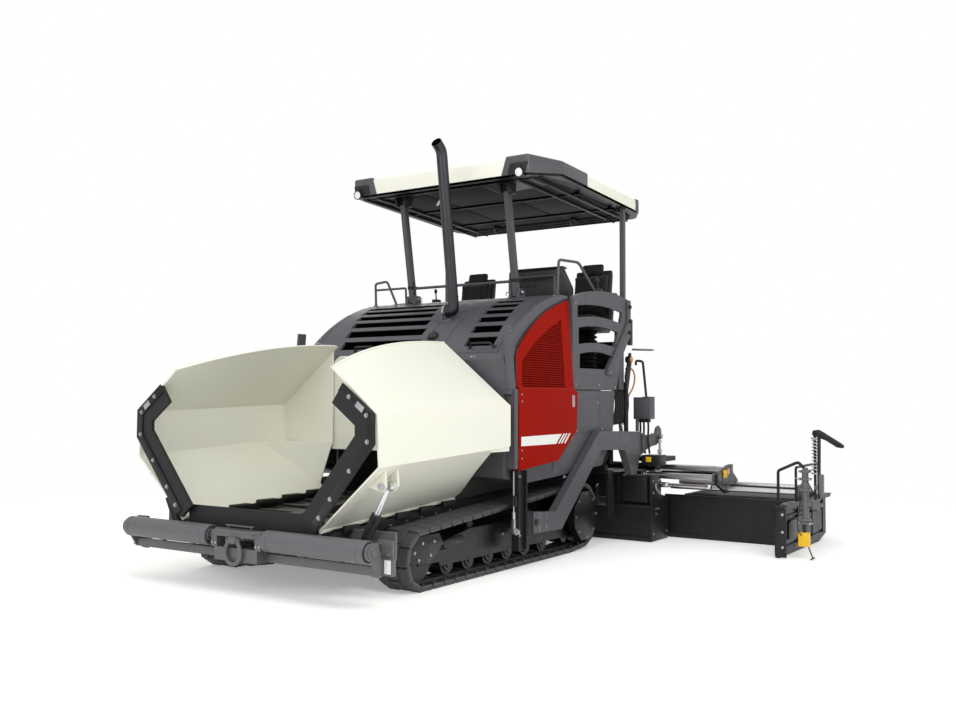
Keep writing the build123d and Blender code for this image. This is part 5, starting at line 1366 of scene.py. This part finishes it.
# ---------------------------------------------------------------- operators' platform
class PAVER_OT_platform(Operator):
    """Fits the platform: console, hand rails, post fittings, guard plates, lamps and floor mat"""
    bl_idname = "paver.platform"
    bl_label = "Platform"

    def execute(self, context):
        self.console()
        self.rails()
        self.guards()
        bm = bmesh.new()
        add_block(bm, (-1.13, 1.13), (0.11, 0.478), (1.7255, 1.731), 0.001)
        add_block(bm, (-0.93, 0.93), (0.722, 1.45), (1.7255, 1.731), 0.001)
        piece("floor_mat", bm, "tread", "chassis")
        return {"FINISHED"}

    def console(self):
        """Operators' console and its guard rail."""
        bm = bmesh.new()
        side_outline(bm, [(0.45, 2.39), (0.45, 2.725), (0.50, 2.775), (0.56, 2.78), (0.745, 2.60),
            (0.745, 2.54), (0.67, 2.39)], (0.255, 0.855), 0.02)
        side_outline(bm, [(0.438, 2.70), (0.44, 2.765), (0.50, 2.805), (0.575, 2.80), (0.59, 2.78),
            (0.50, 2.77), (0.457, 2.69)], (0.252, 0.858), 0.006)
        add_block(bm, (0.31, 0.80), (0.47, 0.73), (1.75, 1.77), 0.008)
        add_block(bm, (0.46, 0.65), (0.52, 0.68), (1.765, 2.4), 0.02, 3)
        add_block(bm, (0.30, 0.81), (0.442, 0.455), (2.43, 2.70), 0.006)
        # operator's side: screen, keys, levers
        tilt = Matrix.Translation((0.555, 0.655, 2.690)) @ Matrix.Rotation(-0.77, 4, "X")
        add_block(bm, (-0.11, 0.11), (-0.07, 0.08), (0, 0.012), 0.005, place=tilt)
        for i in range(4):
            for j in range(4):
                for side in (-1, 1):
                    u, v = side * (0.15 + 0.032 * i), -0.07 + 0.042 * j
                    add_block(bm, (u - 0.011, u + 0.011), (v - 0.014, v + 0.014), (0, 0.009), 0.003, 1, tilt)
        piece("console_body", bm, "plastic", "console", ["console"])
        bm = bmesh.new()
        add_block(bm, (-0.095, 0.095), (-0.055, 0.065), (0.0125, 0.0135), 0.0004, 1, tilt)
        piece("console_screen", bm, "glass", "console")
        bm = bmesh.new()
        for x in (0.34, 0.77):
            add_rod(bm, (x, 0.445, 2.5), (x, 0.42, 2.5), 0.022, segments=20, bevel=0.004)
        add_block(bm, (0.45, 0.66), (0.43, 0.445), (2.46, 2.50), 0.004)
        for x in (0.37, 0.45, 0.53):
            add_block(bm, (x, x + 0.05), (0.436, 0.444), (2.6, 2.63), 0.003)
        piece("console_fittings", bm, "rubber", "console")
        bm = bmesh.new()
        add_rail(bm, [(0.29, 0.50, 2.40), (0.29, 0.395, 2.42), (0.29, 0.395, 2.70), (0.82, 0.395, 2.70),
            (0.82, 0.395, 2.42), (0.82, 0.50, 2.40)], 0.04, 0.012)
        piece("console_rail", bm, "grey", "console")

    def rails(self):
        """Hand rails, the posts' pins and collars."""
        bm = bmesh.new()
        add_rail(bm, [(-1.12, -0.05, 2.43), (-1.13, -0.05, 2.69), (-0.97, -0.05, 2.705),
            (-0.83, -0.05, 2.43)], 0.06, 0.013)
        add_rail(bm, [(-1.125, -0.05, 2.62), (-0.72, -0.05, 2.62), (-0.71, -0.05, 2.45)], 0.035, 0.012)
        # left-hand rail from the hood's edge over the guard
        add_rail(bm, [(1.06, 0.02, 2.44), (1.06, 0.05, 2.80), (1.12, 0.34, 2.80), (1.165, 0.62, 2.52)], 0.08,
            0.014)
        for x, y, z in ((-1.12, -0.05, 2.452), (-0.835, -0.05, 2.452), (-0.71, -0.05, 2.452),
                (1.06, 0.02, 2.452)):
            add_turning(bm, [(-0.01, 0), (-0.01, 0.026), (0.004, 0.026), (0.006, 0.018), (0.006, 0)],
                (x, y, z), (0, 0, 1), 20)
        piece("hand_rail_tubes", bm, "grey", "chassis", ["hand_rails"])
        bm = bmesh.new()
        for s in (-1, 1):
            x = s * 0.632
            add_rod(bm, (x - 0.072, -0.035, 2.495), (x + 0.072, -0.035, 2.495), 0.011, segments=16,
                bevel=0.002)
            add_turning(bm, [(0, 0), (0, 0.02), (0.008, 0.022), (0.02, 0.014), (0.022, 0)],
                (x + s * 0.065, -0.035, 2.495), (s, 0, 0), 20)
            add_rail(bm, [(x - s * 0.07, -0.035, 2.495), (x - s * 0.11, -0.035, 2.51),
                (x - s * 0.12, -0.035, 2.47)], 0.02, 0.005)
        piece("post_pins", bm, "zinc", "chassis")
        bm = bmesh.new()
        for s in (-1, 1):
            for z in (2.56, 2.66):
                add_bolt(bm, (s * 0.604, -0.03 - (z - 2.47) * 0.172, z), (-s, 0, 0), 0.010)
            add_block(bm, (s * 0.632 - 0.034, s * 0.632 + 0.034), (-0.09, 0.0), (2.60, 2.635), 0.004)
        piece("post_collars", bm, "black", "front_posts")

    def guards(self):
        """Outer plate and strut of the rear post, lamps and boxes behind the guard."""
        bm = bmesh.new()
        strut = [(1.262, 2.50), (1.338, 2.50), (1.338, 2.14), (0.985, 1.735), (0.93, 1.70), (0.775, 1.70),
            (0.79, 1.752), (1.18, 2.17), (1.262, 2.27)]
        side_outline(bm, strut, (1.1955, 1.213), 0.003)
        both_sides("guard_struts", bm, "grey", "chassis")
        bm = bmesh.new()
        for x, y, z in ((1.213, 0.85, 1.73), (1.195, 0.13, 1.60), (1.195, 0.13, 2.38), (1.195, 0.62, 1.60),
                (1.195, 0.98, 1.58)):
            add_bolt(bm, (x, y, z), (1, 0, 0), 0.010)
        add_rod(bm, (1.215, 1.36, 1.985), (1.44, 1.38, 1.975), 0.011, segments=16)
        add_rod(bm, (1.44, 1.38, 1.975), (1.47, 1.382, 1.974), 0.011, 0.002, segments=16)
        both_sides("guard_bolts", bm, "zinc", "chassis")
        bm = bmesh.new()
        for z in (2.43, 2.28, 2.16):
            add_turning(bm, [(0, 0), (0, 0.020), (0.012, 0.022), (0.020, 0.018), (0.022, 0)],
                (1.213, 1.30, z), (1, 0, 0), 20)
        add_block(bm, (1.165, 1.197), (1.34, 1.42), (2.03, 2.31), 0.008)
        add_rod(bm, (1.170, 1.30, 1.55), (1.170, 1.30, 1.12), 0.024, segments=20)
        add_turning(bm, [(-0.03, 0), (-0.03, 0.03), (0.0, 0.042), (0.006, 0.042), (0.006, 0)],
            (1.155, 1.395, 1.88), (1, 0.2, 0), 24)
        side_outline(bm, [(1.26, 1.70), (1.36, 1.95), (1.40, 1.95), (1.40, 1.82), (1.32, 1.55),
            (1.28, 1.52)], (1.17, 1.19), 0.004)
        both_sides("guard_boxes", bm, "black", "chassis")
        bm = bmesh.new()
        add_turning(bm, [(0.006, 0), (0.006, 0.036), (0.03, 0.036), (0.045, 0.026), (0.048, 0)],
            (1.155, 1.395, 1.88), (1, 0.2, 0), 24)
        both_sides("marker_lamps", bm, "amber", "chassis")


# ---------------------------------------------------------------- lower body
class PAVER_OT_body(Operator):
    """Fits the lower body: access panels, seams, levelling guides, arm bolts and rear hoses"""
    bl_idname = "paver.body"
    bl_label = "Body"

    def execute(self, context):
        bm = bmesh.new()
        # access panel behind the door, seam strips, and the front corner's flange
        side_outline(bm, [(0.12, 1.12), (0.12, 1.46), (0.60, 1.46), (0.66, 1.40), (0.66, 1.25), (0.74, 1.16),
            (0.74, 1.12)], (1.185, 1.1905), 0.002)
        side_outline(bm, [(-0.30, 0.765), (-0.30, 0.90), (0.03, 1.13), (0.50, 1.13), (0.50, 0.80)],
            (1.185, 1.1885), 0.0015)
        side_outline(bm, [(-1.13, 0.81), (-0.885, 0.74), (-0.33, 0.765), (-0.33, 0.88), (-1.02, 0.84)],
            (1.185, 1.1885), 0.0015)
        both_sides("body_panels", bm, "grey", "chassis")
        bm = bmesh.new()
        for y, z in ((0.16, 1.42), (0.60, 1.42), (0.16, 1.16), (0.69, 1.16), (-0.26, 0.81), (0.45, 0.85),
                (0.45, 1.08), (0.06, 1.09)):
            add_bolt(bm, (1.190, y, z), (1, 0, 0), 0.009)
        # bolts that join each arm to its slide
        for z in (0.80, 0.30):
            add_bolt(bm, (1.272, -1.02, z), (1, 0, 0), 0.010)
        both_sides("body_bolts", bm, "zinc", "chassis")
        bm = bmesh.new()
        for y, z in ((-0.69, 0.438), (-0.57, 0.43), (-0.69, 0.328), (-0.57, 0.325)):
            for d in (-0.012, 0.012):
                add_bolt(bm, (1.275, y, z + d), (1, 0, 0), 0.008)
        both_sides("arm_bolts", bm, "zinc", "screed")
        # hook lug and adjusting spindle at the arm's rear end
        bm = bmesh.new()
        lug = [(1.45, 0.90), (1.56, 0.93), (1.68, 0.955), (1.80, 0.962), (1.89, 1.0), (1.935, 1.07),
            (1.92, 1.14), (1.86, 1.175), (1.79, 1.15), (1.765, 1.09), (1.70, 1.095), (1.60, 1.075),
            (1.45, 1.09)]
        side_outline(bm, lug, (1.276, 1.298), 0.006)
        both_sides("arm_lugs", bm, "grey", "screed")
        bm = bmesh.new()
        add_rod(bm, (1.315, 1.84, 0.845), (1.315, 1.84, 1.04), 0.013, segments=16)
        for z in (0.87, 0.895, 0.99):
            add_rod(bm, (1.315, 1.84, z), (1.315, 1.84, z + 0.018), 0.026, segments=6)
        add_rod(bm, (1.29, 1.84, 1.055), (1.345, 1.84, 1.055), 0.024, segments=20, bevel=0.003)
        both_sides("arm_spindles", bm, "zinc", "screed")
        self.guides()
        self.hoses()
        return {"FINISHED"}

    def guides(self):
        """Levelling rod beside each guide rail, with its clevis."""
        bm = bmesh.new()
        add_rod(bm, (1.236, -1.055, 0.45), (1.236, -1.055, 0.845), 0.0075, segments=12)
        add_rod(bm, (1.236, -1.055, 0.44), (1.236, -1.055, 0.50), 0.017, segments=16, bevel=0.002)
        add_block(bm, (1.218, 1.254), (-1.075, -1.035), (0.35, 0.44), 0.006)
        add_rod(bm, (1.20, -1.055, 0.335), (1.272, -1.055, 0.335), 0.028, segments=24, bevel=0.004)
        add_rod(bm, (1.272, -1.055, 0.335), (1.29, -1.055, 0.335), 0.020, segments=24, bevel=0.004)
        both_sides("levelling_rods", bm, "zinc", "chassis")
        bm = bmesh.new()
        add_block(bm, (1.198, 1.276), (-1.045, -1.03), (0.80, 0.85), 0.003)
        add_rod(bm, (1.255, -1.06, 0.55), (1.255, -1.06, 0.64), 0.016, segments=16, bevel=0.002)
        both_sides("levelling_brackets", bm, "black", "chassis")

    def hoses(self):
        """Fixed hydraulic hoses from under the platform down behind the lower body."""
        bm = bmesh.new()
        for k in range(6):
            x = 1.10 + 0.010 * k
            y = 1.12 + 0.035 * k
            add_hose(bm, [(x - 0.10, 1.02, 1.60 + 0.01 * k), (x, y, 1.60 + 0.02 * k),
                (x + 0.02, y + 0.06, 1.45), (x + 0.01, y + 0.04, 1.28), (x - 0.02, y + 0.02, 1.20),
                (x - 0.10, 1.02, 1.16 + 0.01 * k)], 0.015, steps=6)
        for k in range(3):
            y = 0.90 + 0.045 * k
            add_hose(bm, [(1.02, y, 1.12), (1.10, y + 0.02, 1.05), (1.12, y + 0.06, 0.92),
                (1.09, y + 0.02, 0.80), (1.05, y - 0.02, 0.78)], 0.013, steps=6)
        both_sides("hydraulic_hoses", bm, "rubber", "chassis")
        bm = bmesh.new()
        add_hose(bm, [(1.15, 1.34, 1.78), (1.175, 1.44, 1.80), (1.185, 1.50, 1.70), (1.18, 1.46, 1.58),
            (1.16, 1.38, 1.50), (1.14, 1.35, 1.40)], 0.009)
        both_sides("gas_hose", bm, "braid", "chassis")
        bm = bmesh.new()
        for k, z in enumerate((1.19, 1.30, 1.41)):
            add_rod(bm, (1.125 + 0.012 * k, 1.30, z), (1.125 + 0.012 * k, 1.30, z + 0.05), 0.019, segments=6)
        both_sides("hose_fittings", bm, "zinc", "chassis")
        # valve block over the augers, seen between the arm and the screed
        bm = bmesh.new()
        add_block(bm, (0.90, 1.145), (0.985, 1.050), (0.79, 1.00), 0.006)
        add_block(bm, (0.93, 1.12), (1.045, 1.058), (0.82, 0.97), 0.004)
        add_block(bm, (0.96, 1.00), (0.90, 0.99), (0.90, 1.06), 0.004)
        for k in range(4):
            x = 0.945 + 0.05 * k
            add_rod(bm, (x, 1.02, 0.995), (x, 1.02, 1.03), 0.015, segments=6)
            add_hose(bm, [(x, 1.02, 1.02), (x, 1.02, 1.07), (x, 1.005, 1.10), (x, 0.985, 1.11),
                (x, 0.96, 1.11)], 0.011, steps=5)
        # valve block in the darker black that paints shade
        both_sides("auger_valves", bm, "shaded_gloss_black", "chassis")


# ---------------------------------------------------------------- augers
class PAVER_OT_augers(Operator):
    """Builds the augers: shaft and one continuous flight a side, wound by a spin"""
    bl_idname = "paver.augers"
    bl_label = "Augers"

    def execute(self, context):
        pitch, steps = context.scene.paver_sizes.auger_pitch, 24
        y, z, x0, length = 0.93, 0.42, 0.125, 1.0
        turns = (length - 0.02) / pitch
        bm = bmesh.new()
        flight = bmesh.new()
        corners = [flight.verts.new((x0 + dx, y, z + r)) for dx, r in ((0, 0.04), (0, 0.172), (0.014, 0.172),
            (0.018, 0.04))]
        edges = [flight.edges.new((corners[i], corners[(i + 1) % 4])) for i in range(4)]
        bmesh.ops.spin(flight, geom=corners + edges, cent=(x0, y, z), axis=(1, 0, 0),
            dvec=(pitch / steps, 0, 0), angle=2 * pi * turns, steps=int(turns * steps))
        bmesh.ops.holes_fill(flight, edges=[e for e in flight.edges if e.is_boundary])
        bmesh.ops.recalc_face_normals(flight, faces=flight.faces)
        join(bm, flight)
        add_turning(bm, [(-0.01, 0), (-0.01, 0.06), (0.01, 0.06), (0.012, 0.045), (1.0, 0.045),
            (1.004, 0.055), (1.02, 0.055), (1.02, 0)], (x0, y, z), (1, 0, 0), 32)
        pair("auger_screw", bm, "plate", "auger", ["auger"])
        return {"FINISHED"}


# ---------------------------------------------------------------- screed
class PAVER_OT_screed(Operator):
    """Fits the screed: end plates, valve boxes, cylinders, covers, treads and reflectors"""
    bl_idname = "paver.screed"
    bl_label = "Screed"

    def execute(self, context):
        bm = bmesh.new()
        side_outline(bm, [(1.192, 0.012), (1.192, 0.40), (1.17, 0.43), (1.17, 0.675), (1.34, 0.675),
            (1.435, 0.62), (1.435, 0.47), (1.62, 0.43), (1.62, 0.012)], (1.4905, 1.505), 0.002)
        add_block(bm, (1.12, 1.19), (1.42, 1.62), (0.852, 0.878), 0.004)
        add_block(bm, (1.285, 1.485), (1.42, 1.62), (0.762, 0.872), 0.008)
        for x0, x1 in ((0.08, 0.56), (0.66, 1.12)):
            add_block(bm, (x0, x1), (1.225, 1.41), (0.672, 0.70), 0.008)
            add_block(bm, (x0 + 0.05, x1 - 0.05), (1.44, 1.58), (0.47, 0.50), 0.006)
        add_block(bm, (0.0, 1.488), (1.188, 1.201), (0.345, 0.368), 0.003)
        add_block(bm, (1.17, 1.45), (1.204, 1.246), (0.40, 0.665), 0.006)
        for x in (0.30, 0.70, 1.10):
            add_block(bm, (x, x + 0.02), (1.225, 1.246), (0.385, 0.66), 0.003)
        both_sides("screed_plates", bm, "black", "screed")
        bm = bmesh.new()
        for y, z in ((1.23, 0.62), (1.36, 0.62), (1.23, 0.50), (1.40, 0.50), (1.30, 0.33), (1.36, 0.33),
                (1.30, 0.28), (1.23, 0.08), (1.58, 0.08)):
            add_bolt(bm, (1.505, y, z), (1, 0, 0), 0.011)
        # latch hook on the end plate
        add_rail(bm, [(1.512, 1.27, 0.59), (1.516, 1.28, 0.54), (1.53, 1.34, 0.49), (1.53, 1.36, 0.485)],
            0.02, 0.009)
        for x in (0.2, 0.45, 0.8, 1.0):
            add_bolt(bm, (x, 1.30, 0.70), (0, 0, 1), 0.010)
        add_turning(bm, [(0, 0), (0, 0.05), (0.01, 0.055), (0.02, 0.055), (0.03, 0.03), (0.045, 0.03),
            (0.045, 0)], (0.0, 1.50, 0.455), (0, 0, 1), 24)
        both_sides("screed_bolts", bm, "zinc", "screed")
        # extending cylinder in front of the tubes
        bm = bmesh.new()
        add_rod(bm, (1.506, 1.40, 0.575), (2.06, 1.40, 0.575), 0.019, segments=24)
        add_rod(bm, (1.506, 1.40, 0.575), (1.60, 1.40, 0.575), 0.028, segments=24, bevel=0.003)
        add_rod(bm, (2.0, 1.40, 0.575), (2.06, 1.40, 0.575), 0.026, segments=24, bevel=0.003)
        both_sides("extending_cylinders", bm, "chrome", "screed")
        bm = bmesh.new()
        add_block(bm, (1.34, 1.40), (1.414, 1.421), (0.80, 0.855), 0.002)
        both_sides("valve_box_plates", bm, "yellow", "screed")
        bm = bmesh.new()
        for y, z in ((1.50, 0.66), (1.85, 0.722)):
            add_turning(bm, [(0, 0.0345), (0, 0.052), (0.03, 0.052), (0.034, 0.046), (0.05, 0.046),
                (0.05, 0.0345)], (1.272, y, z), (1, 0, 0), 32)
        both_sides("tube_seals", bm, "zinc", "screed")
        # carriage: reflectors and collars
        bm = bmesh.new()
        add_block(bm, (2.11, 2.124), (1.60, 1.70), (0.655, 0.735), 0.004)
        pair("carriage_reflector", bm, "yellow", "carriage")
        bm = bmesh.new()
        add_block(bm, (2.11, 2.122), (1.71, 1.77), (0.68, 0.75), 0.006)
        pair("carriage_lamp", bm, "amber", "carriage")
        bm = bmesh.new()
        for y, z in ((1.50, 0.66), (1.85, 0.722)):
            add_turning(bm, [(0, 0.0), (0, 0.04), (0.003, 0.04), (0.004, 0.03), (0.004, 0)], (2.11, y, z),
                (1, 0, 0), 28)
            add_turning(bm, [(0, 0.0335), (0, 0.05), (0.03, 0.05), (0.034, 0.0335)], (2.046, y, z),
                (1, 0, 0), 28)
        for y, z in ((1.75, 0.535), (2.0, 0.565)):
            add_turning(bm, [(0, 0.0285), (0, 0.042), (0.003, 0.042), (0.004, 0.0285)], (2.11, y, z),
                (1, 0, 0), 28)
        pair("carriage_collars", bm, "mid", "carriage")
        # extension: tread, front wear strip, covers and rear plate
        bm = bmesh.new()
        add_block(bm, (1.51, 2.81), (2.285, 2.785), (0.4105, 0.416), 0.001)
        pair("extension_tread", bm, "tread", "extension")
        bm = bmesh.new()
        add_block(bm, (1.432, 2.818), (1.694, 1.728), (0.440, 0.452), 0.003)
        for x in (1.52, 1.95, 2.38, 2.76):
            add_block(bm, (x, x + 0.016), (1.73, 1.80), (0.365, 0.44), 0.003)
        for k in range(4):
            x = 1.56 + 0.32 * k
            add_block(bm, (x + 0.02, x + 0.24), (2.25, 2.262), (0.06, 0.16), 0.004)
        pair("extension_fittings", bm, "black", "extension")
        bm = bmesh.new()
        for y, z in ((1.75, 0.535), (2.0, 0.565)):
            add_turning(bm, [(0, 0), (0, 0.0276), (1.362, 0.0276), (1.362, 0)], (1.4815, y, z), (1, 0, 0), 32)
        pair("extension_tubes", bm, "tube", "extension")
        bm = bmesh.new()
        for y, z in ((1.50, 0.66), (1.85, 0.722)):
            add_turning(bm, [(0, 0), (0, 0.0332), (0.726, 0.0332), (0.726, 0)], (1.322, y, z), (1, 0, 0), 32)
        pair("carriage_tubes", bm, "tube", "carriage")
        bm = bmesh.new()
        for x in (1.55, 2.1, 2.75):
            for y in (1.87, 2.05):
                add_bolt(bm, (x, y, 0.370), (0, 0, 1), 0.010)
        pair("extension_bolts", bm, "zinc", "extension")
        self.cabinets()
        return {"FINISHED"}

    def cabinets(self):
        """Screed control cabinets with their door, handle bar and cable bundle."""
        bm = bmesh.new()
        add_block(bm, (1.204, 1.391), (1.409, 1.541), (1.249, 1.481), 0.010, 3)
        add_block(bm, (1.215, 1.38), (1.400, 1.412), (1.262, 1.468), 0.004)
        add_block(bm, (1.30, 1.394), (1.42, 1.53), (1.477, 1.487), 0.003)
        both_sides("cabinet_shells", bm, "grey", "screed")
        bm = bmesh.new()
        add_rail(bm, [(1.33, 1.46, 1.48), (1.30, 1.44, 1.86), (1.225, 1.43, 1.87), (1.225, 1.43, 1.82)],
            0.05, 0.013)
        add_block(bm, (1.22, 1.36), (1.44, 1.51), (1.215, 1.25), 0.006)
        for x in (1.25, 1.29, 1.34):
            add_hose(bm, [(x, 1.48, 1.22), (x, 1.49, 1.15), (x - 0.02, 1.52, 1.08), (x - 0.03, 1.55, 0.98),
                (x - 0.02, 1.56, 0.88)], 0.011)
        both_sides("cabinet_fittings", bm, "rubber", "screed")


# ---------------------------------------------------------------- end gates and sensors
class PAVER_OT_gates(Operator):
    """Builds the end gates' ribs and rails and the grade sensors with their spring posts"""
    bl_idname = "paver.gates"
    bl_label = "End gates"

    def execute(self, context):
        bm = bmesh.new()
        add_block(bm, (2.888, 2.948), (0.925, 0.955), (0.012, 0.452), 0.006)
        add_block(bm, (2.889, 2.905), (1.02, 2.36), (0.355, 0.375), 0.004)
        add_block(bm, (2.889, 2.905), (1.02, 2.36), (0.075, 0.095), 0.004)
        for y in (1.02, 1.45, 1.95, 2.34):
            add_block(bm, (2.889, 2.912), (y, y + 0.02), (0.08, 0.44), 0.004)
        side_outline(bm, [(1.10, 0.15), (1.10, 0.30), (1.16, 0.325), (1.38, 0.325), (1.38, 0.15)],
            (2.90, 2.93), 0.008)
        add_block(bm, (2.85, 2.945), (0.905, 2.555), (0.462, 0.478), 0.006)
        add_block(bm, (2.845, 2.94), (0.922, 0.932), (0.02, 0.47), 0.003)
        pair("gate_ribs", bm, "black", "end_gate")
        bm = bmesh.new()
        for y, z in ((0.985, 0.42), (0.985, 0.30), (0.985, 0.12), (1.42, 0.42), (1.92, 0.42), (2.31, 0.42),
                (1.42, 0.05), (1.92, 0.05)):
            add_bolt(bm, (2.89, y, z), (1, 0, 0), 0.012)
        for z in (0.40, 0.24, 0.10):
            add_bolt(bm, (2.92, 0.922, z), (0, -1, 0), 0.010)
        pair("gate_bolts", bm, "zinc", "end_gate")
        bm = bmesh.new()
        add_rail(bm, [(2.87, 0.97, 0.46), (2.87, 0.97, 0.80), (3.05, 0.99, 0.885), (3.10, 1.0, 0.83)], 0.045,
            0.014)
        add_rail(bm, [(2.88, 1.5, 0.47), (2.88, 1.5, 0.80), (2.88, 2.3, 0.80), (2.88, 2.3, 0.47)], 0.06,
            0.013)
        pair("gate_rails", bm, "black", "end_gate")
        self.sensor()
        return {"FINISHED"}

    def sensor(self):
        """Grade sensor: carrier arm, column, crank, spring post, box and foot."""
        x, y = 3.11, 1.0
        bm = bmesh.new()
        # carrier arm, clamps, column and crank head
        add_block(bm, (2.90, 2.985), (0.955, 1.045), (0.474, 0.502), 0.006)
        add_block(bm, (2.95, 3.262), (0.978, 1.022), (0.482, 0.518), 0.006)
        add_turning(bm, [(0, 0), (0, 0.03), (0.30, 0.03), (0.305, 0.036), (0.36, 0.036), (0.365, 0.03),
            (0.48, 0.03), (0.485, 0.024), (0.50, 0.024), (0.50, 0)], (x, y, 0.335), (0, 0, 1), 28)
        for z, half in ((0.318, 0.060), (0.345, 0.045), (0.62, 0.048), (0.72, 0.052), (0.79, 0.046)):
            add_block(bm, (x - half, x + half), (0.962, 1.038), (z, z + 0.022), 0.005)
        add_block(bm, (3.235, 3.275), (0.97, 1.03), (0.60, 0.78), 0.010)
        add_block(bm, (3.195, 3.24), (0.985, 1.015), (0.64, 0.68), 0.004)
        add_block(bm, (3.17, 3.232), (0.968, 1.032), (0.46, 0.55), 0.008)
        pair("sensor_mount", bm, "mid", "end_gate", ["sensor"])
        bm = bmesh.new()
        add_rod(bm, (3.20, y, 0.52), (3.20, y, 1.155), 0.0125, segments=20)
        front_outline(bm, [(3.178, 1.135), (3.185, 1.178), (3.235, 1.187), (3.27, 1.168), (3.44, 1.062),
            (3.46, 1.042), (3.452, 1.022), (3.40, 1.028), (3.30, 1.09), (3.225, 1.118)], (0.976, 1.024),
            0.008)
        front_outline(bm, [(3.222, 0.56), (3.245, 0.56), (3.252, 1.14), (3.225, 1.14)], (0.985, 1.015), 0.003)
        pair("sensor_post", bm, "black", "end_gate")
        bm = bmesh.new()
        coil = [(3.20 + 0.030 * cos(k * pi / 3), y + 0.030 * sin(k * pi / 3),
            0.80 + 0.30 * k / 60) for k in range(61)]
        add_hose(bm, coil, 0.0042, resolution=1, steps=2)
        add_rod(bm, (3.05, y, 0.80), (3.205, y, 0.825), 0.008, segments=12)
        for z in (0.78, 1.10):
            add_turning(bm, [(0, 0), (0, 0.034), (0.012, 0.034), (0.012, 0)], (3.20, y, z), (0, 0, 1), 24)
        for dx in (-0.05, 0.05):
            add_bolt(bm, (x + dx, 0.962, 0.73), (0, -1, 0), 0.008)
            add_bolt(bm, (x + dx, 0.962, 0.33), (0, -1, 0), 0.008)
        add_rod(bm, (x - 0.085, y, 0.735), (x - 0.03, y, 0.735), 0.006, segments=12)
        pair("sensor_spring", bm, "zinc", "end_gate")
        bm = bmesh.new()
        add_block(bm, (x - 0.065, x + 0.035), (0.968, 1.032), (0.115, 0.245), 0.010, 3)
        pair("sensor_box", bm, "yellow", "end_gate")
        bm = bmesh.new()
        add_rod(bm, (x - 0.01, y, 0.24), (x - 0.01, y, 0.325), 0.018, segments=20)
        add_rod(bm, (x + 0.02, y, 0.122), (x + 0.06, y, 0.014), 0.006, segments=12)
        add_rod(bm, (x + 0.06, y - 0.055, 0.012), (x + 0.06, y + 0.055, 0.012), 0.007, segments=12)
        add_hose(bm, [(x - 0.03, 0.966, 0.22), (x - 0.05, 0.93, 0.25), (x - 0.06, 0.94, 0.38),
            (x - 0.03, 0.955, 0.50), (x - 0.04, 0.96, 0.62)], 0.005)
        pair("sensor_foot", bm, "plastic", "end_gate")
        return {"FINISHED"}


OPERATORS = [
    PAVER_OT_finishes, PAVER_OT_roof, PAVER_OT_tracks, PAVER_OT_seats,
    PAVER_OT_doors, PAVER_OT_hood, PAVER_OT_exhaust, PAVER_OT_hopper,
    PAVER_OT_rollers, PAVER_OT_platform, PAVER_OT_body, PAVER_OT_augers,
    PAVER_OT_screed, PAVER_OT_gates, PAVER_OT_stage,
]


class PAVER_PT_panel(Panel):
    """Shows the paver's settings and a button for each step"""
    bl_idname = "PAVER_PT_panel"
    bl_label = "Paver"
    bl_space_type = "VIEW_3D"
    bl_region_type = "UI"
    bl_category = "Paver"

    def draw(self, context):
        layout = self.layout
        for group in (context.scene.paver_paint, context.scene.paver_sizes):
            for name in group.bl_rna.properties.keys():
                if name not in ("rna_type", "name"):
                    layout.prop(group, name)
        for operator in OPERATORS:
            layout.operator(operator.bl_idname)


CLASSES = [PaverPaint, PaverSizes, *OPERATORS, PAVER_PT_panel]


def register():
    """Registers the classes and hangs the settings on the scene."""
    for cls in CLASSES:
        bpy.utils.register_class(cls)
    bpy.types.Scene.paver_paint = PointerProperty(type=PaverPaint)
    bpy.types.Scene.paver_sizes = PointerProperty(type=PaverSizes)


def unregister():
    """Undoes register."""
    del bpy.types.Scene.paver_sizes
    del bpy.types.Scene.paver_paint
    for cls in reversed(CLASSES):
        bpy.utils.unregister_class(cls)


def main():
    """Runs the operators in order."""
    register()
    for operator in OPERATORS:
        group, name = operator.bl_idname.split(".")
        getattr(getattr(bpy.ops, group), name)()
    bpy.context.view_layer.update()


if __name__ == "__main__":
    main()
